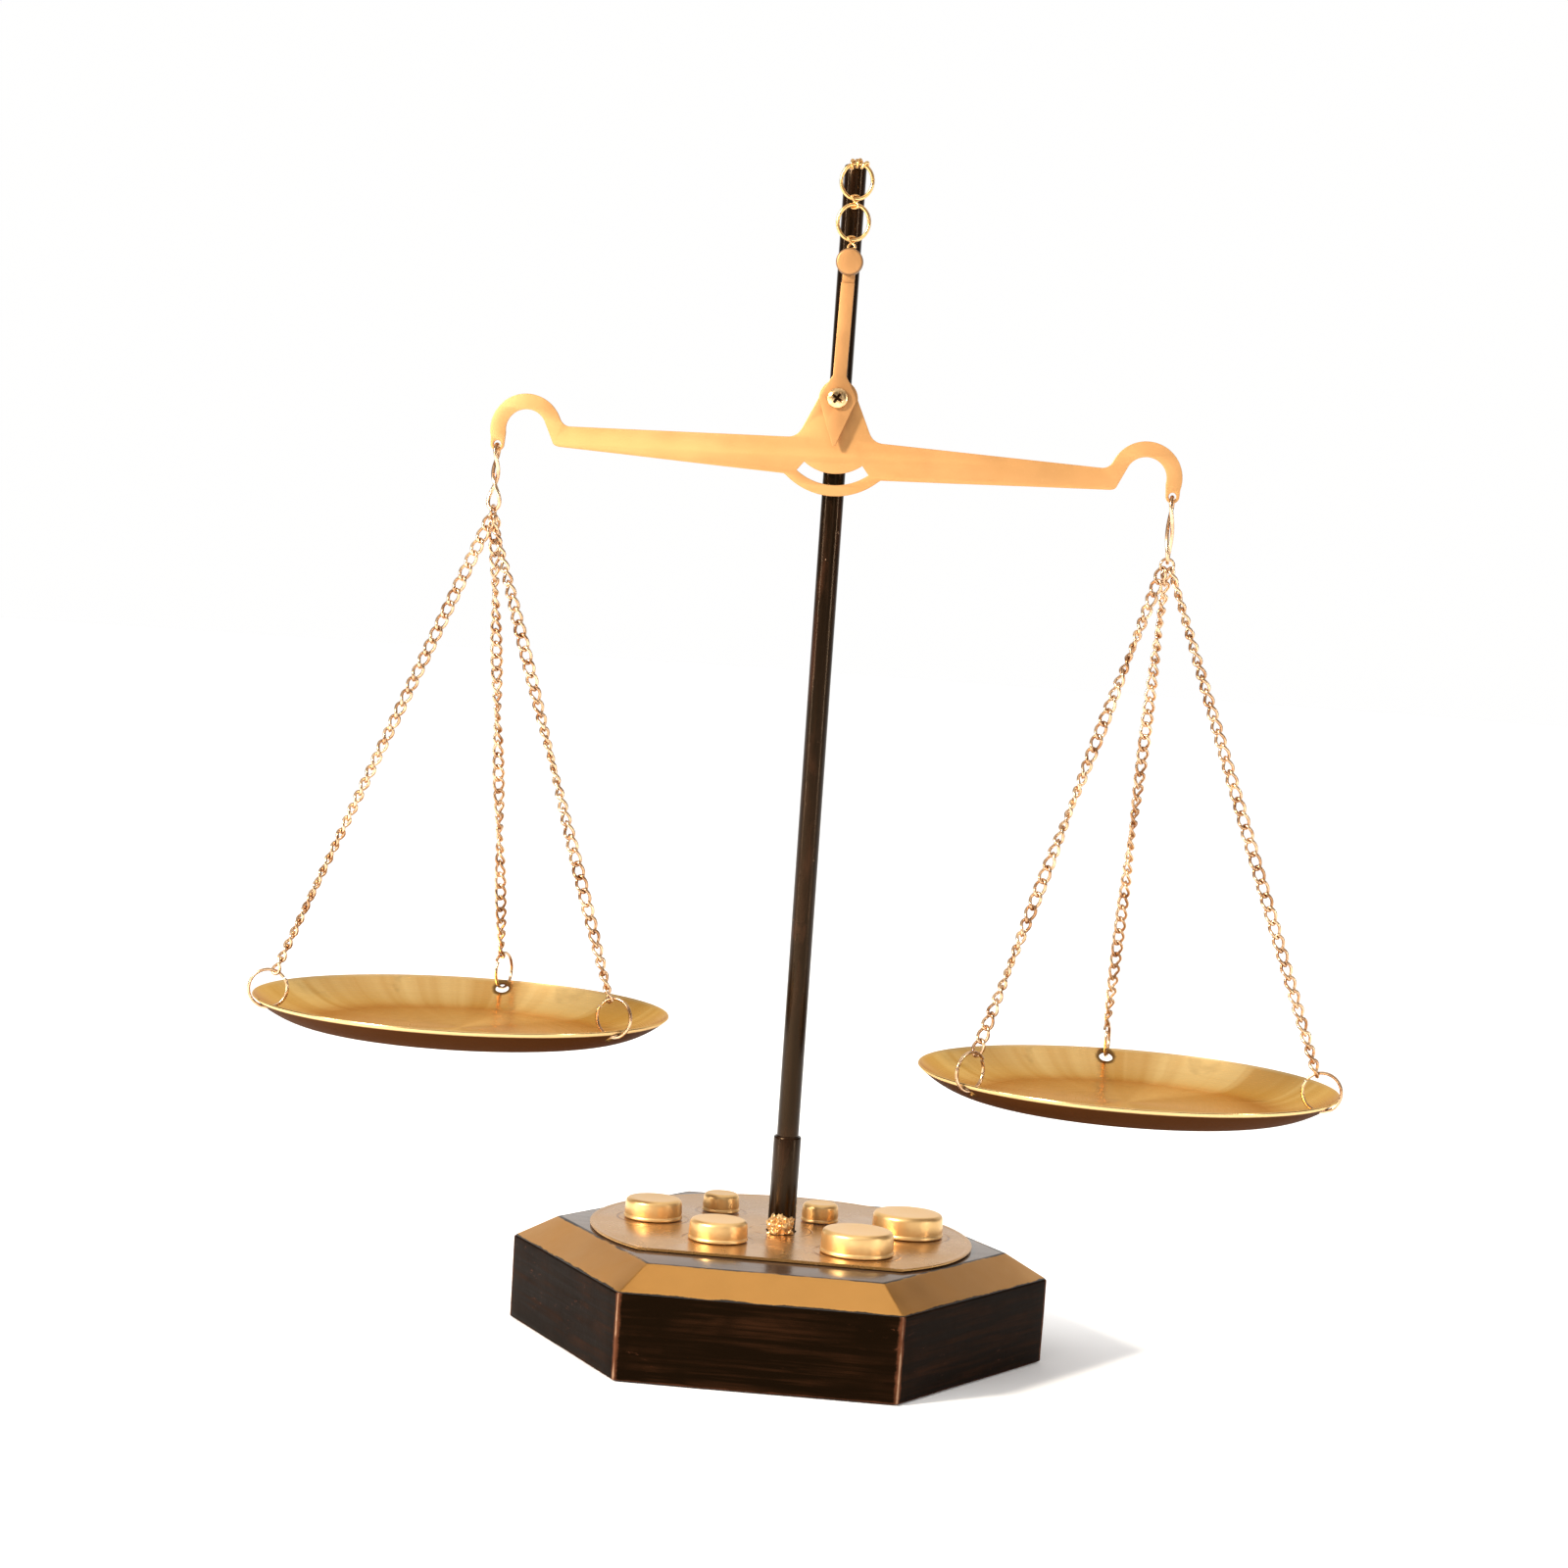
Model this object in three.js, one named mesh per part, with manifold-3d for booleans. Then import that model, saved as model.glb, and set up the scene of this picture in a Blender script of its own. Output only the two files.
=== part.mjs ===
// Brass weighing scale: an equal-arm beam hung on a post, two pans on chains,
// a six-sided base and six weights. Millimetres, +Z up, the origin at the middle
// of the underside, +X along the beam and -Y towards the front.
import * as THREE from 'three';
import { mergeVertices } from 'three/addons/utils/BufferGeometryUtils.js';
import Module from 'manifold-3d';

const wasm = await Module();
wasm.setup();

const degree = Math.PI / 180;
const gap = 0.3; // air left between two pieces that touch in the real thing

// Base: a folded sheet-steel box with six sides and a sloped shoulder
const baseCorner = 98; // centre to outer corner
const shoulderCorner = 81.6; // centre to corner of the flat top
const baseWallTop = 30.8;
const baseTop = 39.2;
const baseSheet = 1.2;
const floorSheet = 1.0;
const padThickness = 1.2;
const wallLift = 0.4; // the walls end this far above the pad's underside

// Disc on the base, and the weights that stand on it
const discRadius = 69.8;
const discThickness = 1.0;
const discFlat = 51.5; // its front is cut off straight, this far from the middle
const weightEdge = 0.9; // rounding of a weight's top edge
const weightLip = 0.5; // how far the foot stands out
const weightSizes = {
  small: { radius: 7.0, height: 6.8 },
  medium: { radius: 10.7, height: 7.3 },
  large: { radius: 13.2, height: 8.3 },
};
const weightPlaces = [
  { name: 'weight_medium_left', size: 'medium', x: -47.6, y: 3.9 },
  { name: 'weight_small_left', size: 'small', x: -24.8, y: 27.8 },
  { name: 'weight_medium_front', size: 'medium', x: -20.8, y: -26.5 },
  { name: 'weight_small_right', size: 'small', x: 12.6, y: 23.6 },
  { name: 'weight_large_right', size: 'large', x: 45.6, y: 11.2 },
  { name: 'weight_large_front', size: 'large', x: 29.3, y: -30.4 },
];

// Post, its socket and what fixes it
const postRadius = 4.0;
const postTop = 427;
const socketWall = 0.85;
const socketFit = 0.2; // between the post and the socket, per side
const socketHeight = 36;
const beadRadius = 4.2;
const beadHeight = 6.4;
const boltRadius = 2.5;
const boltLength = 14; // how far the bolt reaches up into the post
const boltHeadRadius = 4.6;
const boltHeadHeight = 3.4;
const washerThickness = 1.2;

// Pivot: a pan-head screw through the pointer plate and the beam into the post
const pivotBelowTop = 84; // post's top down to the pivot
const screwRadius = 2.0;
const screwFit = 0.25; // between the screw and every hole it passes through
const screwHeadRadius = 3.7;
const screwHeadHeight = 2.3;
const crossSlot = 0.8; // width of the screwdriver cross
const crossReach = 1.9;
const crossDepth = 1.3;
const rearSpacer = 1.2;
const frontSpacer = 2.0;
const spacerRadius = 3.4;

// Beam: one flat sheet, its outline measured from the pivot
const beamSheet = 1.5;
const beamRestTilt = 0.6 * degree; // the right pan's longer chains pull it down a little
const lobeRadius = 7.0;
const lobeFootX = 12;
const lobeFootZ = -11;
const armRootX = 17.5;
const armRootTop = -14.75;
const armRootBottom = -27.9;
const armEndX = 95.5;
const armEndTop = -17.2;
const armEndBottom = -24.8;
const hubRadius = 25;
const hubDrop = 9.8;
const windowInner = 17;
const windowOuter = 21;
const windowHalfAngle = 38 * degree;
const neckX = 111.5;
const neckDrop = 19.6;
const neckOuter = 13;
const neckInner = 7.4;
const tipX = 121.5;
const tipDrop = 25.4;
const tipRadius = 2.5;
const tipHoleRadius = 1.35;

// Pointer plate and the rings that it hangs from, leaning a little off the post
const hangerLean = 1.0 * degree;
const plateSheet = 1.2;
const kiteHalfWidth = 6.8;
const kiteDrop = 17;
const stripHalfWidth = 2.4;
const stripFoot = 8;
const stripTop = 41;
const tabSheet = 1.0;
const tabHalfWidth = 2.2;
const tabFoot = 37;
const tabNeckHalfWidth = 1.3;
const tabTop = 55.3;
const tabHoleRadius = 0.85;
const buttonRadius = 4.85;
const buttonHeight = 3.0;
const buttonRise = 48.4;
const rivetRadius = 1.2;
const hangerRingWidth = 5.6; // centre of the ring to the middle of its wire, sideways
const hangerRingHeight = 6.3; // the same, upwards
const hangerWire = 0.65;
const lowerRingRise = 62.6;
const upperRingRise = 77.2;
const linkWire = 0.4;
const linkHalfWidth = 1.6;
const linkPlay = 0.25; // air between a link or eye and the wire that it holds
const eyeWire = 0.52;
const eyeRadius = 2.0;

// Hook, chains and pans, the same on both sides but for what is listed by side
const hookWire = 0.55;
const hookLength = 23.5;
const hookHalfWidth = 2.1;
const hookCrossing = 0.85; // half the distance between the strands where they cross
const gatherRadius = 2.4;
const gatherWire = 0.5;
const chainPitch = 5.0;
const chainRadius = 1.4;
const chainSpread = 0.95; // air between the chains where their bars begin
const chainEndGap = 1.4;
const panRadius = 75;
const panWallRun = 23; // floor's edge out to the rim, measured level
const panDepth = 9;
const panSheet = 0.7;
const panHoleRadius = 2.6;
const panHoleInset = 3.3; // rim to the middle of a hole, measured level
const ringSeat = 0.5; // the ring rests this far outside the middle of its hole
const ringRadius = 6.8;
const ringWire = 0.6;
const ringPull = 20 * degree; // where the chain holds the ring, from its top
const sides = [
  {
    name: 'left', direction: -1, links: 36, hookTwist: 80 * degree,
    chains: [
      { name: 'back', angle: 87 * degree, turn: -16 * degree },
      { name: 'outer', angle: 207 * degree, turn: -14 * degree },
      { name: 'front', angle: 327 * degree, turn: 8 * degree },
    ],
  },
  {
    name: 'right', direction: 1, links: 37, hookTwist: 8 * degree,
    chains: [
      { name: 'back', angle: 95 * degree, turn: -14 * degree },
      { name: 'front', angle: 219 * degree, turn: 8 * degree },
      { name: 'outer', angle: 337 * degree, turn: 12 * degree },
    ],
  },
];

const pivotHeight = postTop - pivotBelowTop;
const panFloorRadius = panRadius - panWallRun;

// Planes from front to back, worked out from the post outwards
const rearSpacerBack = -postRadius - gap;
const beamBack = rearSpacerBack - rearSpacer - gap;
const beamFront = beamBack - beamSheet;
const beamMiddle = (beamBack + beamFront) / 2;
const frontSpacerBack = beamFront - gap;
const plateBack = frontSpacerBack - frontSpacer - gap;
const plateFront = plateBack - plateSheet;
const screwHeadBack = plateFront - gap;
const tabBack = plateBack + gap + tabSheet;
const hangerPlane = tabBack - tabSheet / 2;
const socketRadius = postRadius + socketFit + socketWall;
const discBottom = baseTop + gap;
const discTop = discBottom + discThickness;
const postFoot = baseTop + gap;

const goldPaint = { color: 0xe0ab66, roughness: 0.5, metalness: 0.7 };
const brushedBrass = { color: 0xd9a758, roughness: 0.28, metalness: 0.95 };
const antiquePaint = { color: 0x2a1b12, roughness: 0.38, metalness: 0.4 };
const chainGold = { color: 0xd9ae86, roughness: 0.25, metalness: 0.95 };
const plainSteel = { color: 0x8d8f92, roughness: 0.4, metalness: 0.9 };
const darkFelt = { color: 0x1c1a19, roughness: 0.95, metalness: 0.0 };

function toSolid(geometry) {
  const bare = geometry.clone();
  bare.deleteAttribute('normal');
  bare.deleteAttribute('uv');
  const merged = mergeVertices(bare, 1e-4);
  return new wasm.Manifold(new wasm.Mesh({
    numProp: 3,
    vertProperties: new Float32Array(merged.attributes.position.array),
    triVerts: new Uint32Array(merged.index.array),
  }));
}

function toGeometry(solid) {
  const mesh = solid.getMesh();
  const geometry = new THREE.BufferGeometry();
  geometry.setAttribute('position', new THREE.BufferAttribute(new Float32Array(mesh.vertProperties), 3));
  geometry.setIndex(new THREE.BufferAttribute(new Uint32Array(mesh.triVerts), 1));
  geometry.computeVertexNormals();
  return geometry;
}

function cut(geometry, tools) {
  let solid = toSolid(geometry);
  for (const tool of tools) {
    solid = solid.subtract(toSolid(tool));
  }
  return toGeometry(solid);
}

function join(geometry, others) {
  let solid = toSolid(geometry);
  for (const other of others) {
    solid = solid.add(toSolid(other));
  }
  return toGeometry(solid);
}

function addPart(group, name, geometry, finish) {
  const mesh = new THREE.Mesh(geometry, new THREE.MeshStandardMaterial(finish));
  mesh.name = name;
  group.add(mesh);
  return mesh;
}

// A profile of [radius, height] pairs, anticlockwise, turned about Z
function turned(profile, segments) {
  const points = profile.map(([radius, height]) => new THREE.Vector2(radius, height));
  return new THREE.LatheGeometry(points, segments).rotateX(Math.PI / 2);
}

function rod(radius, bottom, top, segments) {
  return turned([[0, bottom], [radius, bottom], [radius, top], [0, top]], segments);
}

// A round bar along Y from its back plane to its front plane
function frontBar(radius, back, front, segments) {
  const bar = new THREE.CylinderGeometry(radius, radius, back - front, segments);
  return bar.translate(0, (back + front) / 2, 0);
}

// A flat sheet that stands in the XZ plane, from its back plane forwards
function standingSheet(shape, sheet, back) {
  const solid = new THREE.ExtrudeGeometry(shape, { depth: sheet, bevelEnabled: false, curveSegments: 8 });
  return solid.rotateX(Math.PI / 2).translate(0, back, 0);
}

// A round wire bent along a curve, with an even number of facets around it
function bentWire(curve, radius, steps, facets) {
  const section = new THREE.Shape();
  section.absarc(0, 0, radius, 0, 2 * Math.PI, false);
  return new THREE.ExtrudeGeometry(section, {
    steps, extrudePath: curve, bevelEnabled: false, curveSegments: facets / 2,
  });
}

// A closed wire ring that stands upright, its plane turned about Z
function uprightRing(radius, wire, turn, facets, segments) {
  return new THREE.TorusGeometry(radius, wire, facets, segments).rotateX(Math.PI / 2).rotateZ(turn);
}

// A profile turned in six flats, with a corner on +X
function sixSided(profile) {
  return turned(profile, 6).rotateZ(30 * degree);
}

function hexagonPlate(corner, bottom, top) {
  return sixSided([[0, bottom], [corner, bottom], [corner, top], [0, top]]);
}

function baseShell() {
  const across = Math.cos(30 * degree);
  const wall = baseSheet / across;
  const slope = Math.atan2(baseTop - baseWallTop, (baseCorner - shoulderCorner) * across);
  const shoulderInset = baseSheet * Math.tan(slope / 2) / across;
  const outline = [
    [0, baseTop - baseSheet],
    [shoulderCorner - shoulderInset, baseTop - baseSheet],
    [baseCorner - wall, baseWallTop - baseSheet * Math.tan(slope / 2)],
    [baseCorner - wall, wallLift],
    [baseCorner, wallLift],
    [baseCorner, baseWallTop],
    [shoulderCorner, baseTop],
    [0, baseTop],
  ];
  const hole = rod(boltRadius + gap, baseTop - 2 * baseSheet, baseTop + baseSheet, 24);
  return cut(sixSided(outline), [hole]);
}

function topDisc() {
  const plate = rod(discRadius, discBottom, discTop, 72);
  const hole = rod(socketRadius + gap, discBottom - 1, discTop + 1, 32);
  const front = new THREE.BoxGeometry(2 * discRadius, discRadius, 4 * discThickness);
  front.translate(0, -discFlat - discRadius / 2, discTop);
  return cut(plate, [hole, front]);
}

function weight(size) {
  const foot = 0.25 * size.height;
  const body = size.radius - weightLip;
  return turned([
    [0, 0],
    [size.radius, 0],
    [size.radius, foot - weightLip],
    [body, foot],
    [body, size.height - weightEdge],
    [body - 0.3 * weightEdge, size.height - 0.3 * weightEdge],
    [body - weightEdge, size.height],
    [0, size.height],
  ], 24);
}

function postSocket() {
  const bore = postRadius + socketFit;
  const top = discBottom + socketHeight;
  const edge = 0.45 * socketWall;
  return turned([
    [bore, discBottom],
    [socketRadius, discBottom],
    [socketRadius, top - edge],
    [socketRadius - edge, top],
    [bore, top],
    [bore, discBottom],
  ], 32);
}

function weldBead() {
  const blob = new THREE.SphereGeometry(beadRadius, 16, 10);
  blob.scale(1, 0.8, beadHeight / beadRadius);
  blob.translate(0, -socketRadius, discTop + gap);
  const socket = rod(socketRadius + gap, 0, discTop + 2 * beadHeight + gap, 32);
  const under = rod(discRadius, 0, discTop + gap, 16);
  return cut(blob, [socket, under]);
}

function postRod() {
  const edge = 0.6;
  const bar = turned([
    [0, postFoot],
    [postRadius, postFoot],
    [postRadius, postTop - edge],
    [postRadius - edge, postTop],
    [0, postTop],
  ], 32);
  const boltHole = rod(boltRadius + gap, postFoot - 1, postFoot + boltLength + gap, 24);
  const screwHole = frontBar(screwRadius + screwFit, postRadius / 2, -2 * postRadius, 24);
  screwHole.translate(0, 0, pivotHeight);
  const eyeHole = rod(eyeWire + gap, postTop - 6, postTop + 1, 16);
  return cut(bar, [boltHole, screwHole, eyeHole]);
}

function postBolt() {
  const headTop = baseTop - baseSheet - gap - washerThickness - gap;
  const head = hexagonPlate(boltHeadRadius, headTop - boltHeadHeight, headTop);
  const shank = rod(boltRadius, headTop - 1, postFoot + boltLength, 24);
  return join(head, [shank]);
}

function ringWasher(inner, outer, bottom, top, segments) {
  return turned([[inner, bottom], [outer, bottom], [outer, top], [inner, top], [inner, bottom]], segments);
}

// A spacer on the pivot screw, from its back plane forwards
function pivotSpacer(back, thickness) {
  const spacer = ringWasher(screwRadius + screwFit, spacerRadius, 0, thickness, 28);
  return spacer.rotateX(Math.PI / 2).translate(0, back, pivotHeight);
}

function pivotScrew() {
  const tip = -postRadius + 3.2;
  const crown = 0.55 * screwHeadHeight;
  const profile = [
    [0, 0],
    [screwHeadRadius, 0],
    [screwHeadRadius, crown],
    [0.8 * screwHeadRadius, 0.88 * screwHeadHeight],
    [0.45 * screwHeadRadius, screwHeadHeight],
    [0, screwHeadHeight],
  ];
  const head = turned(profile, 28).rotateX(Math.PI / 2).translate(0, screwHeadBack, 0);
  const shank = frontBar(screwRadius, tip, screwHeadBack - 0.5, 24);
  const face = screwHeadBack - screwHeadHeight;
  const slots = [1, -1].map((hand) => {
    const slot = new THREE.BoxGeometry(2 * crossReach, 2 * crossDepth, crossSlot);
    return slot.rotateY(hand * 45 * degree + 12 * degree).translate(0, face, 0);
  });
  return cut(join(head, [shank]), slots).translate(0, 0, pivotHeight);
}

function rightHalfOfBeam() {
  const path = new THREE.Path();
  path.moveTo(0, lobeRadius);
  path.absarc(0, 0, lobeRadius, 90 * degree, 0, true);
  path.lineTo(lobeFootX, lobeFootZ);
  path.quadraticCurveTo(lobeFootX + 1.6, armRootTop, armRootX, armRootTop);
  path.lineTo(armEndX, armEndTop);
  path.quadraticCurveTo(armEndX + 2.6, armEndTop, armEndX + 3.8, armEndTop + 2.2);
  path.absarc(neckX, -neckDrop, neckOuter, 160 * degree, -15 * degree, true);
  path.absarc(tipX, -tipDrop, tipRadius, 0, -180 * degree, true);
  path.absarc(neckX, -neckDrop, neckInner, 0, 150 * degree, false);
  path.lineTo(armEndX + 5.9, armEndBottom + 1.1);
  path.quadraticCurveTo(armEndX + 5.2, armEndBottom, armEndX + 3, armEndBottom);
  path.lineTo(armRootX, armRootBottom);
  const hubAngle = Math.asin((hubDrop + armRootBottom) / hubRadius);
  path.absarc(0, -hubDrop, hubRadius, hubAngle, -90 * degree, true);
  return path;
}

function scaleWindow() {
  const middle = -90 * degree;
  const path = new THREE.Path();
  path.absarc(0, -hubDrop, windowOuter, middle - windowHalfAngle, middle + windowHalfAngle, false);
  path.absarc(0, -hubDrop, windowInner, middle + windowHalfAngle, middle - windowHalfAngle, true);
  path.closePath();
  return path;
}

function roundHole(x, y, radius) {
  const path = new THREE.Path();
  path.absarc(x, y, radius, 0, 2 * Math.PI, false);
  return path;
}

function beam() {
  const half = rightHalfOfBeam().getPoints(6);
  const mirrored = half.map((point) => new THREE.Vector2(-point.x, point.y)).reverse();
  const shape = new THREE.Shape([...half, ...mirrored.slice(1, -1)]);
  shape.holes.push(roundHole(0, 0, screwRadius + screwFit));
  shape.holes.push(roundHole(-tipX, -tipDrop, tipHoleRadius));
  shape.holes.push(roundHole(tipX, -tipDrop, tipHoleRadius));
  shape.holes.push(scaleWindow());
  return standingSheet(shape, beamSheet, beamBack);
}

function pointerPlate() {
  const shape = new THREE.Shape();
  shape.moveTo(0.5, -kiteDrop);
  shape.lineTo(kiteHalfWidth - 0.4, -1.2);
  shape.quadraticCurveTo(kiteHalfWidth, 0, kiteHalfWidth - 0.6, 1.4);
  shape.quadraticCurveTo(stripHalfWidth + 1.4, stripFoot - 2.4, stripHalfWidth, stripFoot);
  shape.lineTo(stripHalfWidth, stripTop);
  shape.lineTo(-stripHalfWidth, stripTop);
  shape.lineTo(-stripHalfWidth, stripFoot);
  shape.quadraticCurveTo(-stripHalfWidth - 1.4, stripFoot - 2.4, 0.6 - kiteHalfWidth, 1.4);
  shape.quadraticCurveTo(-kiteHalfWidth, 0, 0.4 - kiteHalfWidth, -1.2);
  shape.lineTo(-0.5, -kiteDrop);
  shape.holes.push(roundHole(0, 0, screwRadius + screwFit));
  return standingSheet(shape, plateSheet, plateBack);
}

function hangerTab() {
  const shape = new THREE.Shape();
  shape.moveTo(-tabHalfWidth, tabFoot);
  shape.lineTo(tabHalfWidth, tabFoot);
  shape.lineTo(tabHalfWidth, buttonRise);
  shape.lineTo(tabNeckHalfWidth, buttonRise + tabHalfWidth);
  shape.absarc(0, tabTop - tabNeckHalfWidth, tabNeckHalfWidth, 0, Math.PI, false);
  shape.lineTo(-tabNeckHalfWidth, buttonRise + tabHalfWidth);
  shape.lineTo(-tabHalfWidth, buttonRise);
  shape.holes.push(roundHole(0, tabTop - tabNeckHalfWidth, tabHoleRadius));
  shape.holes.push(roundHole(0, buttonRise, rivetRadius + gap));
  return standingSheet(shape, tabSheet, tabBack);
}

// The button is the head of a rivet whose shank passes through the tab
function hangerButton() {
  const edge = 0.7;
  const back = tabBack - tabSheet - gap;
  const profile = [
    [0, 0],
    [buttonRadius, 0],
    [buttonRadius, buttonHeight - edge],
    [buttonRadius - edge, buttonHeight],
    [0, buttonHeight],
  ];
  const head = turned(profile, 32).rotateX(Math.PI / 2).translate(0, back, 0);
  const shank = frontBar(rivetRadius, tabBack + 0.6, back - 0.5, 16);
  return join(head, [shank]).translate(0, 0, buttonRise);
}

function hangerRing() {
  const ring = uprightRing(1, hangerWire, 0, 6, 24);
  const place = ring.attributes.position;
  for (let i = 0; i < place.count; i += 1) {
    const angle = Math.atan2(place.getZ(i), place.getX(i));
    place.setX(i, place.getX(i) + (hangerRingWidth - 1) * Math.cos(angle));
    place.setZ(i, place.getZ(i) + (hangerRingHeight - 1) * Math.sin(angle));
  }
  return ring;
}

// A small link in the YZ plane, its wire's middle running from bottom to top
function smallLink(bottom, top) {
  const halfHeight = (top - bottom) / 2;
  const curve = new THREE.EllipseCurve(0, 0, linkHalfWidth, halfHeight, 10 * degree, 345 * degree, false, 0);
  const points = curve.getPoints(20).map((point) => new THREE.Vector3(0, point.x, point.y));
  const wire = bentWire(new THREE.CatmullRomCurve3(points), linkWire, 20, 6);
  return wire.translate(0, hangerPlane, (top + bottom) / 2);
}

// Wire eye: a stem in the post's top, bent forwards into a loop that holds the upper ring
function postEye() {
  const ringReach = upperRingRise + hangerRingHeight;
  const loopX = ringReach * Math.sin(hangerLean);
  const ringTop = pivotHeight + ringReach * Math.cos(hangerLean);
  const loopZ = ringTop + eyeRadius - eyeWire - hangerWire - linkPlay;
  const start = 50;
  const end = -265;
  const points = [
    new THREE.Vector3(0, 0, postTop - 5),
    new THREE.Vector3(0, 0, postTop - 2.5),
    new THREE.Vector3(0, 0, postTop),
    new THREE.Vector3(0.15 * loopX, -1.3, postTop + 1.4),
    new THREE.Vector3(0.5 * loopX, -postRadius, postTop + 1.6),
  ];
  for (let turn = start; turn >= end; turn -= 35) {
    const angle = turn * degree;
    points.push(new THREE.Vector3(
      loopX,
      hangerPlane + eyeRadius * Math.sin(angle),
      loopZ + eyeRadius * Math.cos(angle),
    ));
  }
  return bentWire(new THREE.CatmullRomCurve3(points), eyeWire, 44, 6);
}

// Figure of eight bent from one wire; the top eye crosses the beam, and the lower
// eye is turned by the twist
class HookCurve extends THREE.Curve {
  constructor(twist) {
    super();
    this.twist = twist;
  }

  getPoint(share, target = new THREE.Vector3()) {
    const angle = (0.5 + 0.05) * Math.PI + share * 1.9 * Math.PI;
    const depth = (1 - Math.cos(angle)) / 2;
    const turn = 90 * degree + this.twist * depth * depth * (3 - 2 * depth);
    const across = hookHalfWidth * Math.sin(2 * angle);
    const through = hookCrossing * Math.sin(angle);
    return target.set(
      across * Math.cos(turn) - through * Math.sin(turn),
      across * Math.sin(turn) + through * Math.cos(turn),
      -hookLength * depth,
    );
  }
}

function panBowl(chains) {
  const rise = panDepth;
  const run = panRadius - panFloorRadius;
  const bend = (run * run + rise * rise) / (2 * rise);
  const sweep = Math.asin(run / bend);
  const steps = 4;
  const arc = (radius, share) => [
    panFloorRadius + radius * Math.sin(share * sweep),
    bend - panDepth - radius * Math.cos(share * sweep),
  ];
  const profile = [[0, -panDepth - panSheet]];
  for (let step = 0; step <= steps; step += 1) {
    profile.push(arc(bend + panSheet, step / steps));
  }
  for (let step = steps; step >= 0; step -= 1) {
    profile.push(arc(bend, step / steps));
  }
  profile.push([0, -panDepth]);
  const slope = Math.asin((panRadius - panHoleInset - panFloorRadius) / bend);
  const wallPoint = arc(bend, slope / sweep);
  const drills = chains.map((chain) => {
    const drill = rod(panHoleRadius, -3, 3, 16);
    drill.rotateY(-slope);
    drill.translate(wallPoint[0], 0, wallPoint[1]);
    return drill.rotateZ(chain.angle);
  });
  return { geometry: cut(turned(profile, 40), drills), slope, wallPoint };
}

// Where a pan ring's middle lies beside the pan, as [radius, height] from the rim's centre
function ringPlace(slope, wallPoint) {
  return [
    wallPoint[0] + 0.5 * panSheet * Math.sin(slope) + ringSeat * Math.cos(slope),
    wallPoint[1] - 0.5 * panSheet * Math.cos(slope) + ringSeat * Math.sin(slope) + ringRadius,
  ];
}

function straightBar(from, to, radius) {
  const curve = new THREE.LineCurve3(from, to);
  return bentWire(curve, radius, 1, 6);
}

// Everything that hangs from one beam tip, placed plumb below its hole
function hangingSide(side) {
  const group = new THREE.Group();
  const sin = Math.sin(beamRestTilt);
  const cos = Math.cos(beamRestTilt);
  const tip = side.direction * tipX;
  group.position.set(tip * cos - tipDrop * sin, beamMiddle, pivotHeight - tip * sin - tipDrop * cos);

  addPart(group, `${side.name}_hook`, bentWire(new HookCurve(side.hookTwist), hookWire, 44, 8), chainGold);

  const gatherTop = -hookLength + hookWire + gatherWire + gap;
  const gather = uprightRing(gatherRadius, gatherWire, side.hookTwist, 6, 16);
  gather.translate(0, 0, gatherTop - gatherRadius);
  addPart(group, `${side.name}_gather_ring`, gather, chainGold);

  const hanging = new THREE.Group();
  hanging.position.z = gatherTop - 2 * gatherRadius;
  group.add(hanging);

  const { geometry, slope, wallPoint } = panBowl(side.chains);
  const [ringOut, ringUp] = ringPlace(slope, wallPoint);
  const pullOut = ringOut - ringRadius * Math.sin(ringPull);
  const chainLength = side.links * chainPitch;
  const pullDrop = Math.sqrt(chainLength * chainLength - pullOut * pullOut);
  const panHeight = -pullDrop - ringUp - ringRadius * Math.cos(ringPull);
  const chainTopGap = (2 * chainRadius + chainSpread) * chainLength / (Math.sqrt(3) * pullOut);
  const pan = addPart(hanging, `${side.name}_pan`, geometry, brushedBrass);
  pan.position.z = panHeight;

  for (const chain of side.chains) {
    const facing = chain.angle + chain.turn;
    const middle = new THREE.Vector3(
      ringOut * Math.cos(chain.angle),
      ringOut * Math.sin(chain.angle),
      panHeight + ringUp,
    );
    const ring = uprightRing(ringRadius, ringWire, facing, 6, 24);
    ring.translate(middle.x, middle.y, middle.z);
    addPart(hanging, `${side.name}_ring_${chain.name}`, ring, chainGold);

    const end = new THREE.Vector3(
      -ringRadius * Math.sin(ringPull) * Math.cos(facing),
      -ringRadius * Math.sin(ringPull) * Math.sin(facing),
      ringRadius * Math.cos(ringPull),
    ).add(middle);
    const length = end.length();
    const top = end.clone().multiplyScalar(chainTopGap / length);
    const bottom = end.clone().multiplyScalar(1 - chainEndGap / length);
    addPart(hanging, `${side.name}_chain_${chain.name}`, straightBar(top, bottom, chainRadius), chainGold);
  }
  return group;
}

function baseGroup() {
  const group = new THREE.Group();
  const inside = baseCorner - (baseSheet + gap) / Math.cos(30 * degree);
  addPart(group, 'base_pad', hexagonPlate(inside - 1, 0, padThickness), darkFelt);
  addPart(group, 'base_floor',
    hexagonPlate(inside, padThickness + gap, padThickness + gap + floorSheet), plainSteel);
  addPart(group, 'base_shell', baseShell(), antiquePaint);
  addPart(group, 'top_disc', topDisc(), goldPaint);
  for (const place of weightPlaces) {
    const piece = addPart(group, place.name, weight(weightSizes[place.size]), goldPaint);
    piece.position.set(place.x, place.y, discTop + gap);
  }
  return group;
}

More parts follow.
